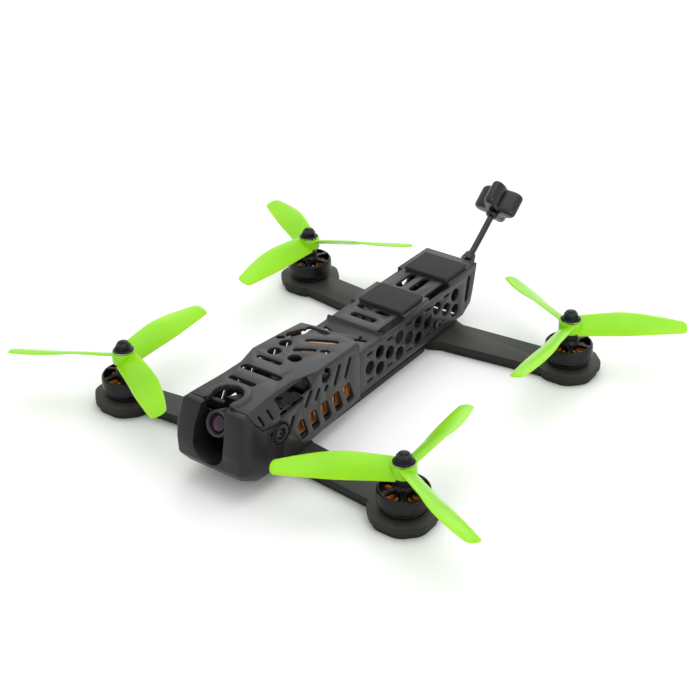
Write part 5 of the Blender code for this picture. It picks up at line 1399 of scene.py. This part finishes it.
def antenna():
    leave, arrive = heading(STEM_PITCH), heading(HEAD_PITCH)
    straight = antenna_exit() + leave * (BOOT_LENGTH + 5 * MM)
    end = antenna_exit() + heading((STEM_PITCH + HEAD_PITCH) / 2) * STEM_REACH
    route = [antenna_exit() - leave * 4.5 * MM]
    route += bezier(straight, straight + leave * 7 * MM, end - arrive * 7 * MM, end, 28)
    sections = []
    for k, point in enumerate(route):
        ahead = (route[min(k + 1, len(route) - 1)] - route[max(k - 1, 0)]).normalized()
        side = Vector((1, 0, 0))
        up = ahead.cross(side)
        sections.append([tuple(point + (side * math.cos(a) + up * math.sin(a)) * STEM_RADIUS)
                         for a in (2 * math.pi * j / 24 for j in range(24))])
    stem = loft("antenna_stem_looks", sections, closed=True)
    finish_piece(stem, "cable", AIRFRAME, ["antenna_stem"], 50)
    bore = STEM_RADIUS + GAP
    boot = lathe("antenna_boot_looks", [
        (bore, 0), (bore + 2.0 * MM, 0), (bore + 2.0 * MM, 0.9 * MM), (bore + 1.8 * MM, 1.4 * MM),
        (bore + 1.3 * MM, 3.2 * MM), (bore + 0.9 * MM, BOOT_LENGTH - 0.3 * MM),
        (bore + 0.6 * MM, BOOT_LENGTH), (bore, BOOT_LENGTH)], 40)
    moved(boot, along_antenna(antenna_exit() + leave * 3.4 * MM, STEM_PITCH))
    finish_piece(boot, "antenna", AIRFRAME, ["antenna_boot"])
    collar_height = 3.2 * MM
    collar = lathe("antenna_collar_looks", [
        (0, 0), (2.6 * MM, 0), (3.0 * MM, 0.15 * MM), (3.7 * MM, 0.8 * MM), (3.8 * MM, 1.2 * MM),
        (3.8 * MM, 2.2 * MM), (3.5 * MM, 2.6 * MM), (2.6 * MM, collar_height), (0, collar_height)], 48,
        closed=False)
    moved(collar, along_antenna(end + arrive * GAP, HEAD_PITCH))
    finish_piece(collar, "antenna", AIRFRAME, ["antenna_collar"])
    sections = []
    crown = 2.6 * MM
    levels = [(0.0, 1.3)]
    levels += [(crown * (1 - math.cos(a)), crown * (1 - math.sin(a)) / MM) for a in
               (math.radians(15 * k) for k in range(1, 7))]
    full = [(z, inset) for z, inset in levels]
    full[0] = (0.0, crown / MM)
    rings = full + [(HEAD_HEIGHT - z, inset) for z, inset in reversed(full)]
    for z, inset in rings:
        ring = []
        for k in range(96):
            angle = 2 * math.pi * k / 96
            radius = HEAD_RADIUS * (0.76 + 0.24 * math.cos(4 * angle)) - inset * MM
            ring.append((radius * math.cos(angle), radius * math.sin(angle), z))
        sections.append(ring)
    head = loft("antenna_head_looks", sections, closed=True)
    moved(head, along_antenna(end + arrive * (collar_height + 2 * GAP), HEAD_PITCH))
    finish_piece(head, "antenna", AIRFRAME, ["antenna_head"], 50)


# ---------------------------------------------------------------- carried-over nodes
def dress_remaining_nodes():
    """CAD nodes that keep their own shape get a finished material."""
    finishes = {"stack_post": "dark_screw", "pod_spacer": "dark_screw"}
    for name, node in frame["nodes"].items():
        if node.hide_render:
            continue
        key = next((finishes[start] for start in finishes if name.startswith(start)), "casing")
        node.data.materials.clear()
        node.data.materials.append(MATERIALS[key])


# ---------------------------------------------------------------- stage, light and view
def stage():
    bm = bmesh.new()
    bmesh.ops.create_grid(bm, x_segments=1, y_segments=1, size=6.0)
    floor = solid("floor", bm)
    floor.data.materials.append(new_material("pale_floor", (0.92, 0.92, 0.92), 0.65))
    world = bpy.data.worlds.new("studio")
    bpy.context.scene.world = world
    world.use_nodes = True
    background = world.node_tree.nodes["Background"]
    background.inputs["Color"].default_value = (1.0, 1.0, 1.0, 1.0)
    background.inputs["Strength"].default_value = 0.9


def softbox(name, location, target, size, power):
    light = bpy.data.lights.new(name, "AREA")
    light.shape = "SQUARE"
    light.size = size
    light.energy = power
    obj = scene_object(name, light)
    obj.location = location
    obj.rotation_euler = (Vector(target) - Vector(location)).to_track_quat("-Z", "Y").to_euler()


def lights():
    softbox("overhead", (0.0, 0.25, 1.3), (0, 0, 0), 1.3, 6.0)
    softbox("left_side", (1.2, -0.5, 0.7), (0, 0, 0.02), 0.8, 4.0)
    softbox("behind", (-0.6, 1.3, 0.8), (0, 0, 0.02), 0.9, 3.0)


def view_camera():
    camera = bpy.data.cameras.new("view")
    camera.lens = 74.27
    camera.sensor_width = 36.0
    camera.clip_start = 0.01
    obj = scene_object("view", camera)
    azimuth, elevation, roll = math.radians(36.36), math.radians(31.03), math.radians(-0.99)
    back = Vector((math.sin(azimuth) * math.cos(elevation), -math.cos(azimuth) * math.cos(elevation),
                   math.sin(elevation)))
    level = Vector((math.cos(azimuth), math.sin(azimuth), 0.0))
    upright = back.cross(level)
    across = level * math.cos(roll) + upright * math.sin(roll)
    rise = upright * math.cos(roll) - level * math.sin(roll)
    rotation = Matrix((across, rise, back)).transposed().to_4x4()
    obj.matrix_world = Matrix.Translation((398.38 * MM, -541.53 * MM, 427.75 * MM)) @ rotation
    bpy.context.scene.camera = obj
    bpy.context.scene.view_settings.view_transform = "Standard"


view_camera()
stage()
lights()
arms()
motors()
nose()
canopy()
tail_pod()
grip_pads()
screws()
flight_camera()
camera_leads()
electronics()
antenna()
dress_remaining_nodes()
